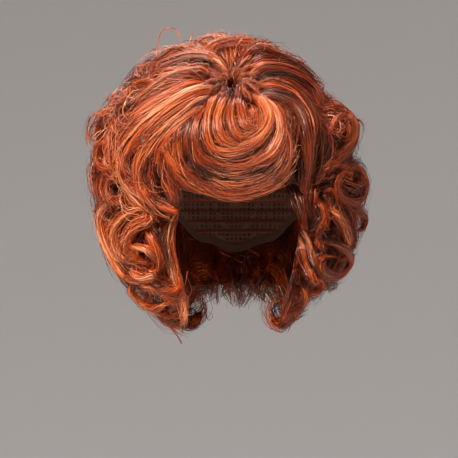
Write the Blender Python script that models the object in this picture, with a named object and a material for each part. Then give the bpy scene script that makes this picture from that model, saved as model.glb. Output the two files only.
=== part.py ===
# A short curly wig: a net cap with the hair in six sections round it.
# Metres. +Z is up, the face opening looks along -Y, and +X is the wearer's left.
# The origin is the inner top of the cap, where the wig sits on a head.
import math

import bmesh
import bpy
import numpy as np

# Cap
CAP_WIDTH = 0.150          # inside, ear to ear
CAP_LENGTH = 0.190         # inside, forehead to back
CAP_RISE = 0.095           # from the widest level up to the inner top
CAP_WALL = 0.0018
CAP_SQUARENESS = 2.25      # 2 is an ellipse, more is squarer
HAIRLINE_DROP = 0.040      # how far each part of the rim lies below the inner top
EAR_TAB_DROP = 0.108
EAR_DROP = 0.086
NAPE_DROP = 0.152

# Hair mass, measured from a centre below the inner top
CENTRE_DROP = 0.090
REACH_FRONT = 0.140
REACH_LEFT = 0.139
REACH_BACK = 0.156
REACH_RIGHT = 0.157
REACH_UP = 0.168
REACH_DOWN = 0.168
BACKING_SHARE = 0.87       # how far out the mass under the locks goes

# Whorl, from which the hair runs
WHORL_HEIGHT = 54.0        # degrees above the centre's level, at the front

# Face opening and neck
FACE_WIDTH = 0.130
FACE_LENGTH = 0.150
FRINGE_DROP = 0.095        # the fringe's lower edge, below the inner top
NECK_WIDTH = 0.112
NECK_DEPTH = 0.124
NECK_DROP = 0.185          # where the head has narrowed to the neck
FACE_TURNS = (46.0, 78.0)  # degrees from the front over which the backing comes out beside the face
FACE_LEVELS = (-6.0, 8.0)  # degrees of elevation over which it comes out above the face
BACKING_AT_FACE = 0.45     # how far out it goes behind the face opening

# Locks
LOCK_WIDTH = 0.027
LOCK_THICKNESS = 0.015
CURL_RADIUS = 0.0165
ROOT_SHARE = 0.80          # how deep in the mass a lock starts
RISE_SHARE = 0.45          # how much of the stem it takes to come out
ROOT_SWELL = (0.45, 0.30)  # width at the root, and the share of the lock that widens from it
TIP_SWELL = (0.38, 0.62)   # width at the tip, and where the lock starts to narrow to it
CURL_TIGHTENING = 0.42     # how much of its radius a curl loses by its tip
OUTWARD_SINK = 1.6         # radii that a lock that curls out lies deeper

# Clearances
CAP_GAP = 0.0006           # from the cap to the hair on it
PARTING_GAP = 0.0006       # between two sections of hair

# Meshing
CAP_SIDES = 40
CAP_ROWS = 9
FORM_ROWS = 14
ROW_SPACING = 1.6          # above 1, rows of points are closer near the top
BACKING_ROWS = 26
BACKING_SIDES = 44
LOCK_SIDES = 8
LOCK_STEP = 0.005
MESH_STEP = 0.0026
WEDGE_STEPS = 6
HAIR_FACES = 11500
FAR = 0.40                 # how far cutting shapes reach
SAME_POINT = 0.00001
CREASE = 50.0              # degrees, above which an edge shows sharp

# Silhouette of the hair mass as shares of the four reaches, by elevation in degrees.
# The last column is the backing's share of BACKING_SHARE.
# elevation, front, left, back, right, backing
SILHOUETTE = (
    (-65, 1.07, 1.08, 1.06, 1.02, 0.88),
    (-50, 1.00, 1.01, 1.01, 0.97, 0.92),
    (-35, 0.93, 0.98, 0.99, 0.97, 0.97),
    (-20, 0.86, 0.97, 0.99, 0.94, 1.00),
    (-5, 0.79, 0.96, 0.99, 0.93, 1.00),
    (5, 0.84, 1.00, 0.99, 0.95, 1.00),
    (15, 0.92, 0.92, 1.00, 0.99, 1.00),
    (28, 1.00, 1.04, 1.01, 1.05, 1.00),
    (42, 1.01, 0.99, 1.04, 1.01, 1.00),
    (55, 1.00, 1.04, 1.06, 1.06, 1.00),
    (72, 1.11, 1.12, 1.08, 1.06, 1.00),
)

# The cap's rim round the head, as shares of the four drops above.
# degrees from the front, hairline, ear tab, ear, nape
RIM = (
    (0, 1.00, 0.00, 0.00, 0.00),
    (35, 1.08, 0.00, 0.00, 0.00),
    (55, 1.45, 0.00, 0.00, 0.00),
    (74, 0.00, 1.00, 0.00, 0.00),
    (92, 0.00, 0.00, 1.00, 0.00),
    (118, 0.00, 0.00, 0.55, 0.45),
    (150, 0.00, 0.00, 0.00, 0.93),
    (180, 0.00, 0.00, 0.00, 1.00),
)

# Head and neck that the hair goes round, as shares of the cap's half width and half length.
# share of NECK_DROP, width, front, back
HEAD_BELOW = (
    (0.62, 1.00, 1.00, 0.985),
    (0.74, 0.95, 1.00, 0.93),
    (0.86, 0.87, 1.00, 0.84),
)

# Face opening: rows down from the fringe's edge, as shares of FACE_LENGTH, with the edges
# on the wearer's right and left as shares of half of FACE_WIDTH.
# down, right edge, left edge
FACE_SIDES = (
    (0.06, -0.88, 1.04),
    (0.22, -0.99, 1.02),
    (0.36, -0.98, 0.98),
    (0.52, -0.91, 0.92),
    (0.70, -0.79, 0.78),
    (2.00, -0.79, 0.70),
)
# The fringe's lower edge, across from the wearer's right to left: across, down
FRINGE_EDGE = (
    (-0.85, -0.06),
    (-0.50, -0.015),
    (-0.10, 0.005),
    (0.30, -0.015),
    (0.62, -0.05),
    (0.78, -0.12),
    (0.84, -0.24),
    (0.98, -0.10),
)

# Locks of each region. Turn goes round the whorl from the face (0) to the wearer's left (90)
# and the back (180), and fall goes away from the whorl, both in degrees. The stem is an arc
# that turns by bend, and a curl of the given turning follows it. Stand tips the curl from
# flat on the mass (0) to a barrel that rolls under (90, curl above 0) or out (curl below 0).
# from turn, from fall, to turn, to fall, bend, curl, curl size, stand, width
FRINGE_LOCKS = (
    (-40, 5, 30, 14, 250, 0, 1.0, 0, 0.55),
    (-52, 8, 38, 20, 263, 0, 1.0, 0, 0.58),
    (-57, 13, 42, 26, 250, 0, 1.0, 0, 0.60),
    (-57, 18, 45, 31, 243, 0, 1.0, 0, 0.62),
    (-57, 23, 45, 36, 228, 0, 1.0, 0, 0.64),
    (-55, 28, 44, 41, 200, 0, 1.0, 0, 0.66),
    (-50, 33, 43, 46, 165, 0, 1.0, 0, 0.66),
    (-47, 39, 40, 50, 130, 0, 1.0, 0, 0.62),
    (-46, 34, -33, 56, 71, 0, 1.0, 0, 0.62),
    (52, 7, 30, 34, -108, 0, 1.0, 0, 0.62),
    (82, 9, 40, 40, -67, 0, 1.0, 0, 0.66),
)
RIGHT_LOCKS = (
    (-94, 6, -66, 47, 24, 0, 1.0, 0, 1.00),
    (-108, 10, -85, 47, 9, 0, 1.0, 0, 1.00),
    (-78, 7, -57, 41, -18, 0, 1.0, 0, 0.95),
    (-124, 12, -102, 46, 20, 240, 0.9, 60, 0.90),
    (-52, 36, -36, 69, 161, 0, 1.0, 0, 0.95),
    (-76, 58, -33, 69, 67, 0, 1.0, 0, 0.90),
    (-104, 42, -61, 59, 102, 0, 1.0, 0, 0.95),
    (-113, 34, -97, 52, 69, 300, 0.9, 70, 0.85),
    (-80, 60, -70, 82, 184, 0, 1.0, 0, 1.00),
    (-57, 70, -37, 101, 213, 0, 1.0, 0, 1.05),
    (-55, 89, -40, 98, -151, -200, 0.7, 20, 0.80),
    (-62, 102, -28, 108, 54, 120, 0.8, 30, 0.90),
    (-31, 99, -32, 126, -53, -160, 0.8, 40, 0.80),
    (-88, 70, -84, 90, 30, 380, 1.0, 80, 0.95),
    (-72, 96, -60, 116, 40, 330, 0.9, 60, 0.95),
)
LEFT_LOCKS = (
    (47, 4, 66, 40, -121, 0, 1.0, 0, 0.95),
    (79, 33, 45, 56, -35, 0, 1.0, 0, 0.90),
    (177, 13, 109, 42, -99, 0, 1.0, 0, 0.95),
    (142, 5, 90, 42, -107, 0, 1.0, 0, 1.00),
    (80, 24, 86, 46, -20, 420, 1.1, 80, 0.85),
    (95, 50, 46, 58, -70, 0, 1.0, 0, 0.85),
    (98, 52, 82, 62, -20, 420, 1.1, 80, 0.80),
    (88, 66, 80, 84, -30, -150, 0.8, 80, 0.75),
    (56, 68, 64, 88, -40, -400, 1.1, 75, 0.85),
    (46, 58, 37, 80, 39, 0, 1.0, 0, 0.85),
    (60, 60, 60, 78, 40, 200, 0.8, 40, 0.85),
    (30, 88, 33, 102, 30, -330, 0.65, 60, 0.65),
    (27, 96, 21, 119, 1, 60, 0.8, 30, 0.70),
    (46, 98, 38, 116, 30, 300, 0.9, 60, 0.90),
)
CROWN_LOCKS = (
    (-162, 14, -129, 39, 77, 0, 1.0, 0, 0.90),
    (-176, 22, -148, 33, 144, 0, 1.0, 0, 0.80),
    (-147, 10, -108, 37, -12, 0, 1.0, 0, 0.95),
    (180, 25, 135, 31, -108, 0, 1.0, 0, 0.85),
    (-150, 5, 178, 30, 40, 0, 1.0, 0, 0.95),
    (165, 5, 150, 34, -30, 0, 1.0, 0, 0.95),
)
# Rows of barrel curls behind and below the locks above: fall, first turn, last turn, count
CURL_ROWS = (
    (36, 135, 225, 4),
    (52, 118, 242, 7),
    (69, 108, 254, 9),
    (86, 98, 264, 11),
    (103, 86, 276, 12),
    (120, 72, 290, 13),
    (137, 60, 300, 11),
    (153, 50, 310, 8),
)
ROW_STEM = 17.0            # degrees that each lock of a row falls before it curls
ROW_BEND = 45.0
ROW_CURL = 370.0
ROW_STAND = 72.0
ROW_SHIFT = 0.25           # how far a row is shifted from the ones beside it, in pitches
ROW_LEAN = 3.0             # degrees of turn that each end of a lock leans by
ROW_VARY = (2.0, 40.0, 0.12, 0.08)  # variation of the fall, the curl, its size and the width
VARY_RATES = (2.4, 1.7)    # along a row and from row to row

# Partings, in degrees of turn, and the levels that part the back, as shares of CENTRE_DROP
FRINGE_PARTINGS = (-50.0, 47.0)
BACK_PARTING = 118.0
CROWN_LEVEL = 0.35
NAPE_LEVEL = 1.42
FRINGE_LEVEL = 1.10        # the fringe's section ends here, as a share of FRINGE_DROP

COLOURS = {
    "wig_cap": (0.045, 0.016, 0.010, 1.0),
    "fringe": (0.400, 0.082, 0.020, 1.0),
    "crown_hair": (0.360, 0.070, 0.018, 1.0),
    "side_hair_left": (0.200, 0.036, 0.012, 1.0),
    "side_hair_right": (0.340, 0.064, 0.016, 1.0),
    "back_hair": (0.300, 0.055, 0.015, 1.0),
    "nape_curls": (0.240, 0.044, 0.013, 1.0),
}

CENTRE = np.array([0.0, 0.0, -CENTRE_DROP])
WHORL = np.array([0.0, -math.cos(math.radians(WHORL_HEIGHT)), math.sin(math.radians(WHORL_HEIGHT))])
TO_FACE = np.array([0.0, -math.sin(math.radians(WHORL_HEIGHT)), -math.cos(math.radians(WHORL_HEIGHT))])
TO_LEFT = np.array([1.0, 0.0, 0.0])


def unit(vector):
    return vector / np.linalg.norm(vector)


def whorl_direction(turn, fall):
    """Direction from the centre for a turn round the whorl and a fall away from it."""
    turn, fall = math.radians(turn), math.radians(fall)
    round_whorl = math.cos(turn) * TO_FACE + math.sin(turn) * TO_LEFT
    return math.cos(fall) * WHORL + math.sin(fall) * round_whorl


def hair_reach(direction):
    """Distance from the centre to the silhouette, and the backing's share of it."""
    elevation = math.degrees(math.asin(max(-1.0, min(1.0, direction[2]))))
    level = math.hypot(direction[0], direction[1])
    ahead = -direction[1] / max(level, 1e-9)
    aside = direction[0] / max(level, 1e-9)
    rows = [row[0] for row in SILHOUETTE]
    side, side_reach = (2, REACH_LEFT) if aside > 0 else (4, REACH_RIGHT)
    end, end_reach = (1, REACH_FRONT) if ahead > 0 else (3, REACH_BACK)
    levels = [-90.0] + rows + [90.0]
    reaches = []
    for column, reach in ((side, side_reach), (end, end_reach)):
        shares = [row[column] * reach for row in SILHOUETTE]
        reaches.append(np.interp(elevation, levels, [REACH_DOWN] + shares + [REACH_UP]))
    backing = np.interp(elevation, rows, [row[5] for row in SILHOUETTE])
    return reaches[0] * aside ** 2 + reaches[1] * ahead ** 2, backing


def head_surface(angle, drop, grow=0.0):
    """Point on the cap's inner surface, or grown outwards by a thickness."""
    half_width, half_length = CAP_WIDTH / 2 + grow, CAP_LENGTH / 2 + grow
    rise = CAP_RISE + grow
    if drop < CAP_RISE:
        height = max(0.0, 1 - drop / CAP_RISE)
        share = (1 - height ** CAP_SQUARENESS) ** (1 / CAP_SQUARENESS)
        width = front = back = share
        z = height * rise - CAP_RISE
    else:
        levels = [CAP_RISE] + [row[0] * NECK_DROP for row in HEAD_BELOW]
        width, front, back = (
            np.interp(drop, levels, [1.0] + [row[column] for row in HEAD_BELOW]) for column in (1, 2, 3)
        )
        z = -drop
    along = front if math.cos(angle) > 0 else back
    return (half_width * width * math.sin(angle), -half_length * along * math.cos(angle), z)


def rim_drop(angle):
    """How far the cap's rim lies below its inner top, round the head."""
    around = abs((math.degrees(angle) + 180) % 360 - 180)
    drops = [row[1] * HAIRLINE_DROP + row[2] * EAR_TAB_DROP + row[3] * EAR_DROP + row[4] * NAPE_DROP
             for row in RIM]
    for k in range(len(RIM) - 1):
        if around <= RIM[k + 1][0]:
            return drops[k] + (drops[k + 1] - drops[k]) * smooth_step(around, RIM[k][0], RIM[k + 1][0])
    return NAPE_DROP


def new_object(name, points, faces, guide=False):
    mesh = bpy.data.meshes.new(name)
    mesh.from_pydata([tuple(p) for p in points], [], faces)
    mesh.validate()
    mesh_faces_out(mesh)
    obj = bpy.data.objects.new(name, mesh)
    bpy.context.scene.collection.objects.link(obj)
    if guide:
        obj.hide_render = True
        obj.display_type = "WIRE"
    return obj


def mesh_faces_out(mesh):
    bm = bmesh.new()
    bm.from_mesh(mesh)
    bmesh.ops.recalc_face_normals(bm, faces=bm.faces[:])
    bm.to_mesh(mesh)
    bm.free()


def rings_to_faces(rings, sides, first, closed_ends=True):
    """Quads between rings of points, with a fan or a flat cap at each end."""
    faces = []
    for ring in range(rings - 1):
        for k in range(sides):
            a, b = first + ring * sides + k, first + ring * sides + (k + 1) % sides
            faces.append((a, b, b + sides, a + sides))
    if closed_ends:
        faces.append(tuple(first + k for k in reversed(range(sides))))
        faces.append(tuple(first + (rings - 1) * sides + k for k in range(sides)))
    return faces


def make_cap():
    """The net cap: an inner and an outer dome that meet at the rim."""
    points, faces = [], []
    angles = [2 * math.pi * k / CAP_SIDES for k in range(CAP_SIDES)]
    starts = []
    for grow in (0.0, CAP_WALL):
        starts.append(len(points))
        points.append((0.0, 0.0, grow))
        for row in range(1, CAP_ROWS + 1):
            for angle in angles:
                points.append(head_surface(angle, rim_drop(angle) * (row / CAP_ROWS) ** ROW_SPACING, grow))
        top = starts[-1]
        for k in range(CAP_SIDES):
            faces.append((top, top + 1 + k, top + 1 + (k + 1) % CAP_SIDES))
        faces += rings_to_faces(CAP_ROWS, CAP_SIDES, top + 1, closed_ends=False)
    for k in range(CAP_SIDES):
        near = (CAP_ROWS - 1) * CAP_SIDES + 1 + k
        far = (CAP_ROWS - 1) * CAP_SIDES + 1 + (k + 1) % CAP_SIDES
        faces.append((starts[0] + near, starts[0] + far, starts[1] + far, starts[1] + near))
    return new_object("wig_cap", points, faces)


def make_head_form():
    """The head and neck, with the cap on them, that is cut out of the hair."""
    grow = CAP_WALL + CAP_GAP
    angles = [2 * math.pi * k / CAP_SIDES for k in range(CAP_SIDES)]
    drops = [CAP_RISE * (row / FORM_ROWS) ** ROW_SPACING for row in range(1, FORM_ROWS + 1)]
    drops += [row[0] * NECK_DROP for row in HEAD_BELOW]
    points = [(0.0, 0.0, grow)]
    for drop in drops:
        points += [head_surface(angle, drop, grow) for angle in angles]
    for drop in (NECK_DROP, FAR):
        for angle in angles:
            points.append((NECK_WIDTH / 2 * math.sin(angle), -NECK_DEPTH / 2 * math.cos(angle), -drop))
    rings = len(drops) + 2
    faces = [(0, 1 + (k + 1) % CAP_SIDES, 1 + k) for k in range(CAP_SIDES)]
    faces += rings_to_faces(rings, CAP_SIDES, 1, closed_ends=False)
    faces.append(tuple(1 + (rings - 1) * CAP_SIDES + k for k in range(CAP_SIDES)))
    return new_object("head_form", points, faces, guide=True)


def make_face_opening():
    """The opening for the face, from in front of the hair to the middle of the head."""
    half = FACE_WIDTH / 2
    outline = [(row[2] * half, -FRINGE_DROP - row[0] * FACE_LENGTH) for row in reversed(FACE_SIDES)]
    outline += [(x * half, -FRINGE_DROP - z * FACE_LENGTH) for x, z in reversed(FRINGE_EDGE)]
    outline += [(row[1] * half, -FRINGE_DROP - row[0] * FACE_LENGTH) for row in FACE_SIDES]
    points = [(x, -FAR, z) for x, z in outline] + [(x, 0.0, z) for x, z in outline]
    faces = rings_to_faces(2, len(outline), 0)
    return new_object("face_opening", points, faces, guide=True)


def make_backing():
    """The mass of hair under the locks, held back where the face opening is."""
    points = []
    for row in range(1, BACKING_ROWS):
        elevation = math.radians(-90 + 180 * row / BACKING_ROWS)
        for side in range(BACKING_SIDES):
            azimuth = 2 * math.pi * side / BACKING_SIDES
            direction = np.array([math.cos(elevation) * math.sin(azimuth),
                                  -math.cos(elevation) * math.cos(azimuth), math.sin(elevation)])
            reach, backing = hair_reach(direction)
            around = abs((math.degrees(azimuth) + 180) % 360 - 180)
            beside_face = smooth_step(around, *FACE_TURNS)
            above_face = smooth_step(math.degrees(elevation), *FACE_LEVELS)
            share = BACKING_SHARE * backing * max(beside_face, above_face, BACKING_AT_FACE)
            points.append(CENTRE + direction * reach * share)
    return points, rings_to_faces(BACKING_ROWS - 1, BACKING_SIDES, 0)


def smooth_step(value, low, high):
    t = max(0.0, min(1.0, (value - low) / (high - low)))
    return t * t * (3 - 2 * t)


def lock_path(start, end, bend, curl, size, stand, depth):
    """Points and frames of a lock: an arc over the mass, then a curl that tightens."""
    middle = unit(start + end)
    ahead = unit((end - start) - ((end - start) @ middle) * middle)
    aside = np.cross(middle, ahead)
    chord = math.acos(max(-1.0, min(1.0, start @ end)))
    bend = math.radians(bend)
    length = chord if abs(bend) < 0.01 else chord * bend / (2 * math.sin(bend / 2))
    steps = max(6, int(round(length * hair_reach(middle)[0] / LOCK_STEP)))
    across, up = -chord / 2, 0.0
    if curl < 0:
        depth += OUTWARD_SINK * CURL_RADIUS * size * math.sin(math.radians(stand))
    points, normals = [], []
    for step in range(steps + 1):
        t = step / steps
        away = max(math.hypot(across, up), 1e-9)
        direction = math.cos(away) * middle + math.sin(away) / away * (across * ahead + up * aside)
        rise = ROOT_SHARE + (1 - ROOT_SHARE) * smooth_step(t, 0.0, RISE_SHARE)
        points.append(CENTRE + direction * (hair_reach(direction)[0] * rise - depth))
        normals.append(direction)
        heading = -bend / 2 + bend * (t + 0.5 / steps)
        across += math.cos(heading) * length / steps
        up += math.sin(heading) * length / steps
    if curl:
        forward = unit(points[-1] - points[-2])
        normal = unit(normals[-1] - (normals[-1] @ forward) * forward)
        side = np.cross(normal, forward)
        axis = math.cos(math.radians(stand)) * normal + math.sin(math.radians(stand)) * side
        turned, place = 0.0, points[-1]
        while turned < abs(math.radians(curl)):
            radius = CURL_RADIUS * size * (1 - CURL_TIGHTENING * turned / abs(math.radians(curl)))
            angle = math.copysign(LOCK_STEP / radius, curl)
            forward, normal = turn_about(forward, axis, angle), turn_about(normal, axis, angle)
            place = place + forward * abs(angle) * radius
            turned += abs(angle)
            points.append(place)
            normals.append(normal)
    return points, normals


def turn_about(vector, axis, angle):
    c, s = math.cos(angle), math.sin(angle)
    return vector * c + np.cross(axis, vector) * s + axis * (axis @ vector) * (1 - c)


def lock_mesh(row):
    """A lock as a closed tube, flat in section and drawn in at its root and tip."""
    turn, fall, to_turn, to_fall, bend, curl, size, stand, width = row
    half_width, half_thickness = LOCK_WIDTH * width / 2, LOCK_THICKNESS * (0.5 + 0.5 * width) / 2
    path, normals = lock_path(whorl_direction(turn, fall), whorl_direction(to_turn, to_fall),
                              bend, curl, size, stand, half_thickness)
    points = []
    last = len(path) - 1
    for k, place in enumerate(path):
        forward = unit(path[min(k + 1, last)] - path[max(k - 1, 0)])
        normal = unit(normals[k] - (normals[k] @ forward) * forward)
        side = np.cross(normal, forward)
        t = k / last
        from_root = ROOT_SWELL[0] + (1 - ROOT_SWELL[0]) * smooth_step(t, 0.0, ROOT_SWELL[1])
        swell = from_root * (1 - (1 - TIP_SWELL[0]) * smooth_step(t, TIP_SWELL[1], 1.0))
        for corner in range(LOCK_SIDES):
            angle = 2 * math.pi * corner / LOCK_SIDES
            points.append(place + side * half_width * swell * math.cos(angle)
                          + normal * half_thickness * swell ** 0.5 * math.sin(angle))
    return points, rings_to_faces(len(path), LOCK_SIDES, 0)


def curl_rows():
    """Rows of barrel curls down the back, each row shifted from the one above."""
    locks = []
    fall_vary, curl_vary, size_vary, width_vary = ROW_VARY
    for number, (fall, first, last, count) in enumerate(CURL_ROWS):
        pitch = (last - first) / (count - 1)
        for k in range(count):
            turn = first + pitch * (k + ROW_SHIFT * (-1) ** number)
            way = (-1) ** (k + number)
            vary = math.sin(VARY_RATES[0] * k + VARY_RATES[1] * number)
            locks.append((turn - way * ROW_LEAN, fall - ROW_STEM, turn + way * ROW_LEAN, fall + fall_vary * vary,
                          way * ROW_BEND, ROW_CURL + curl_vary * vary, 1.0 + size_vary * vary, ROW_STAND,
                          1.0 + width_vary * vary))
    return locks


def evaluated_mesh(obj, name):
    graph = bpy.context.evaluated_depsgraph_get()
    mesh = bpy.data.meshes.new_from_object(obj.evaluated_get(graph), depsgraph=graph)
    mesh.name = name
    return mesh


def replace_mesh(obj):
    """Applies an object's modifiers."""
    mesh = evaluated_mesh(obj, obj.name)
    obj.modifiers.clear()
    obj.data = mesh


def cut(obj, other, operation):
    modifier = obj.modifiers.new(operation.lower(), "BOOLEAN")
    modifier.operation = operation
    modifier.solver = "EXACT"
    modifier.object = other
    replace_mesh(obj)


def keep_largest(obj):
    """Removes the crumbs that a cut leaves beside the main body."""
    bm = bmesh.new()
    bm.from_mesh(obj.data)
    bmesh.ops.remove_doubles(bm, verts=bm.verts[:], dist=SAME_POINT)
    bm.faces.ensure_lookup_table()
    left, groups = set(bm.faces), []
    while left:
        group, front = set(), [left.pop()]
        while front:
            face = front.pop()
            group.add(face)
            for edge in face.edges:
                for near in edge.link_faces:
                    if near in left:
                        left.remove(near)
                        front.append(near)
        groups.append(group)
    main = max(groups, key=len)
    bmesh.ops.delete(bm, geom=[f for f in bm.faces if f not in main], context="FACES")
    bmesh.ops.triangulate(bm, faces=bm.faces[:])
    bm.to_mesh(obj.data)
    bm.free()


def make_hair():
    """All the locks fused to the backing, with the head, neck and face cut out."""
    points, faces = make_backing()
    for row in FRINGE_LOCKS + RIGHT_LOCKS + LEFT_LOCKS + CROWN_LOCKS + tuple(curl_rows()):
        lock_points, lock_faces = lock_mesh(row)
        faces += [tuple(len(points) + k for k in face) for face in lock_faces]
        points += lock_points
    hair = new_object("hair", points, faces)
    fuse = hair.modifiers.new("fuse", "REMESH")
    fuse.mode = "VOXEL"
    fuse.voxel_size = MESH_STEP
    replace_mesh(hair)
    keep_largest(hair)
    thin = hair.modifiers.new("thin", "DECIMATE")
    thin.ratio = HAIR_FACES / (2 * len(hair.data.polygons))
    replace_mesh(hair)
    for form in (make_head_form(), make_face_opening()):
        cut(hair, form, "DIFFERENCE")
        bpy.data.objects.remove(form)
    return hair


def wedge(first, last, low, high, gap):
    """A cutting wedge about the whorl's axis, between two partings and two levels."""
    corners = [(0.0, 0.0)]
    for k in range(WEDGE_STEPS + 1):
        turn = math.radians(first + (last - first) * k / WEDGE_STEPS)
        corners.append((2 * FAR * math.cos(turn), 2 * FAR * math.sin(turn)))
    middle = math.radians((first + last) / 2)
    back_off = gap / math.sin(math.radians(last - first) / 2)
    shift = np.array([math.cos(middle), math.sin(middle)]) * back_off
    points = []
    for along in (-FAR, FAR):
        for across, aside in corners:
            points.append(CENTRE + WHORL * along + TO_FACE * (across + shift[0]) + TO_LEFT * (aside + shift[1]))
    body = new_object("wedge", points, rings_to_faces(2, len(corners), 0), guide=True)
    band = level_band(low + gap, high - gap)
    cut(body, band, "INTERSECT")
    bpy.data.objects.remove(band)
    return body


def level_band(low, high):
    outline = ((-FAR, -FAR), (FAR, -FAR), (FAR, FAR), (-FAR, FAR))
    points = [(x, y, low) for x, y in outline] + [(x, y, high) for x, y in outline]
    return new_object("band", points, rings_to_faces(2, 4, 0), guide=True)


def take_section(name, hair, first, last, low, high, spare=None):
    """One section of the hair, between its partings."""
    section = bpy.data.objects.new(name, hair.data.copy())
    bpy.context.scene.collection.objects.link(section)
    cutter = wedge(first, last, low, high, PARTING_GAP / 2)
    cut(section, cutter, "INTERSECT")
    bpy.data.objects.remove(cutter)
    if spare:
        cut(section, spare, "DIFFERENCE")
    keep_largest(section)
    return section


def give_material(obj):
    colour = COLOURS[obj.name]
    material = bpy.data.materials.new(obj.name)
    material.use_nodes = True
    shader = material.node_tree.nodes["Principled BSDF"]
    shader.inputs["Base Color"].default_value = colour
    shader.inputs["Roughness"].default_value = 0.8 if obj.name == "wig_cap" else 0.42
    shader.inputs["Metallic"].default_value = 0.0
    obj.data.materials.clear()
    obj.data.materials.append(material)
    obj.data.shade_smooth()
    obj.data.set_sharp_from_angle(angle=math.radians(CREASE))


def main():
    for obj in list(bpy.data.objects):
        bpy.data.objects.remove(obj)
    pieces = [make_cap()]
    hair = make_hair()
    fringe_low = -FRINGE_DROP * FRINGE_LEVEL
    crown_low = -CENTRE_DROP * CROWN_LEVEL
    nape_high = -CENTRE_DROP * NAPE_LEVEL
    pieces.append(take_section("fringe", hair, *FRINGE_PARTINGS, fringe_low, FAR))
    spare = wedge(*FRINGE_PARTINGS, fringe_low, FAR, -PARTING_GAP / 2)
    pieces.append(take_section("side_hair_left", hair, 0, BACK_PARTING, -FAR, FAR, spare))
    pieces.append(take_section("side_hair_right", hair, -BACK_PARTING, 0, -FAR, FAR, spare))
    bpy.data.objects.remove(spare)
    back = (BACK_PARTING, 360 - BACK_PARTING)
    pieces.append(take_section("crown_hair", hair, *back, crown_low, FAR))
    pieces.append(take_section("back_hair", hair, *back, nape_high, crown_low))
    pieces.append(take_section("nape_curls", hair, *back, -FAR, nape_high))
    bpy.data.objects.remove(hair)
    for piece in pieces:
        give_material(piece)


main()
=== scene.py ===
import math

import bmesh
import bpy
import numpy as np
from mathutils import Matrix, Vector
from mathutils.kdtree import KDTree


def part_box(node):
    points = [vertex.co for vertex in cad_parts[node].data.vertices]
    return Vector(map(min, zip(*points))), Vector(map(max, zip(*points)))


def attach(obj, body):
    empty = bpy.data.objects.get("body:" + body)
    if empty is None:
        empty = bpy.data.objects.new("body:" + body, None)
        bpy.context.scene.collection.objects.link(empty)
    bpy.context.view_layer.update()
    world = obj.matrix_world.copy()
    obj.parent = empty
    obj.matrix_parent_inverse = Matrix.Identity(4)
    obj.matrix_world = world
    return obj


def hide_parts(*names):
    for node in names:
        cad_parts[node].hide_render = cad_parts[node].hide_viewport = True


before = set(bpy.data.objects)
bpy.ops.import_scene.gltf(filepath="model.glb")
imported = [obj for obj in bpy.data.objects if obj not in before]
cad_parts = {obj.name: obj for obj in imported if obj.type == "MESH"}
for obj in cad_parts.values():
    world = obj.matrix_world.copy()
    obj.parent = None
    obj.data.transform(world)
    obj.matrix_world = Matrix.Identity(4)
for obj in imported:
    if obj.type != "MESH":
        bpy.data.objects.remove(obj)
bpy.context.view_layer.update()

capLow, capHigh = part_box("wig_cap")

# The photo: where the wig's inner top lies in it, and its scale at the hair
photo = {
    "size": 458,
    "middleX": 236,           # pixel column of the cap's middle
    "topY": 108,              # pixel row of the cap's inner top
    "mmPerPixel": 1.05,
    "distance": 3.0,          # from the camera to the middle of the head
}

# Cap sizes, from the frame and the solids
cap = {
    "wall": 0.0018,
    "rise": 0.095,            # from the widest level up to the inner top
    "squareness": 2.25,
    "hairline": 0.040,        # how far the rim lies below the inner top
    "earTab": 0.108,
    "ear": 0.086,
    "sides": 96,
}
cap["width"] = capHigh.x - capLow.x - 2 * cap["wall"]
cap["length"] = 2 * (capHigh.y - cap["wall"]) + 0.0008
cap["nape"] = -capLow.z

# The hair mass, measured from a centre below the inner top of the cap
mass = {
    "centreDrop": 0.090,
    "front": 0.140,
    "left": 0.139,
    "back": 0.156,
    "right": 0.157,
    "up": 0.168,
    "down": 0.168,
    "backing": 0.85,          # share of the reach that the mass under the locks fills
    "whorlHeight": 54.0,      # degrees above the centre's level
}
# elevation, front, left, back, right, backing
silhouette = np.array((
    (-65, 1.07, 1.08, 1.06, 1.02, 0.88),
    (-50, 1.00, 1.01, 1.01, 0.97, 0.92),
    (-35, 0.93, 0.98, 0.99, 0.97, 0.97),
    (-20, 0.86, 0.97, 0.99, 0.94, 1.00),
    (-5, 0.79, 0.96, 0.99, 0.93, 1.00),
    (5, 0.84, 1.00, 0.99, 0.95, 1.00),
    (15, 0.92, 0.92, 1.00, 0.99, 1.00),
    (28, 1.00, 1.04, 1.01, 1.05, 1.00),
    (42, 1.01, 0.99, 1.04, 1.01, 1.00),
    (55, 1.00, 1.04, 1.06, 1.06, 1.00),
    (72, 1.11, 1.12, 1.08, 1.06, 1.00),
))

centre = np.array([0.0, 0.0, -mass["centreDrop"]])
tilt = math.radians(mass["whorlHeight"])
whorl = np.array([0.0, -math.cos(tilt), math.sin(tilt)])
toFace = np.array([0.0, -math.sin(tilt), -math.cos(tilt)])
toLeft = np.array([1.0, 0.0, 0.0])


def unit(v):
    return v / np.maximum(np.linalg.norm(v, axis=-1, keepdims=True), 1e-12)


def smoothStep(value, low, high):
    t = np.clip((value - low) / (high - low), 0.0, 1.0)
    return t * t * (3 - 2 * t)


def whorlDirection(turn, fall):
    # turn goes round the whorl from the face to the wearer's left and the back, fall away from it
    turn, fall = np.radians(turn), np.radians(fall)
    roundWhorl = np.cos(turn)[..., None] * toFace + np.sin(turn)[..., None] * toLeft
    return np.cos(fall)[..., None] * whorl + np.sin(fall)[..., None] * roundWhorl


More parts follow.
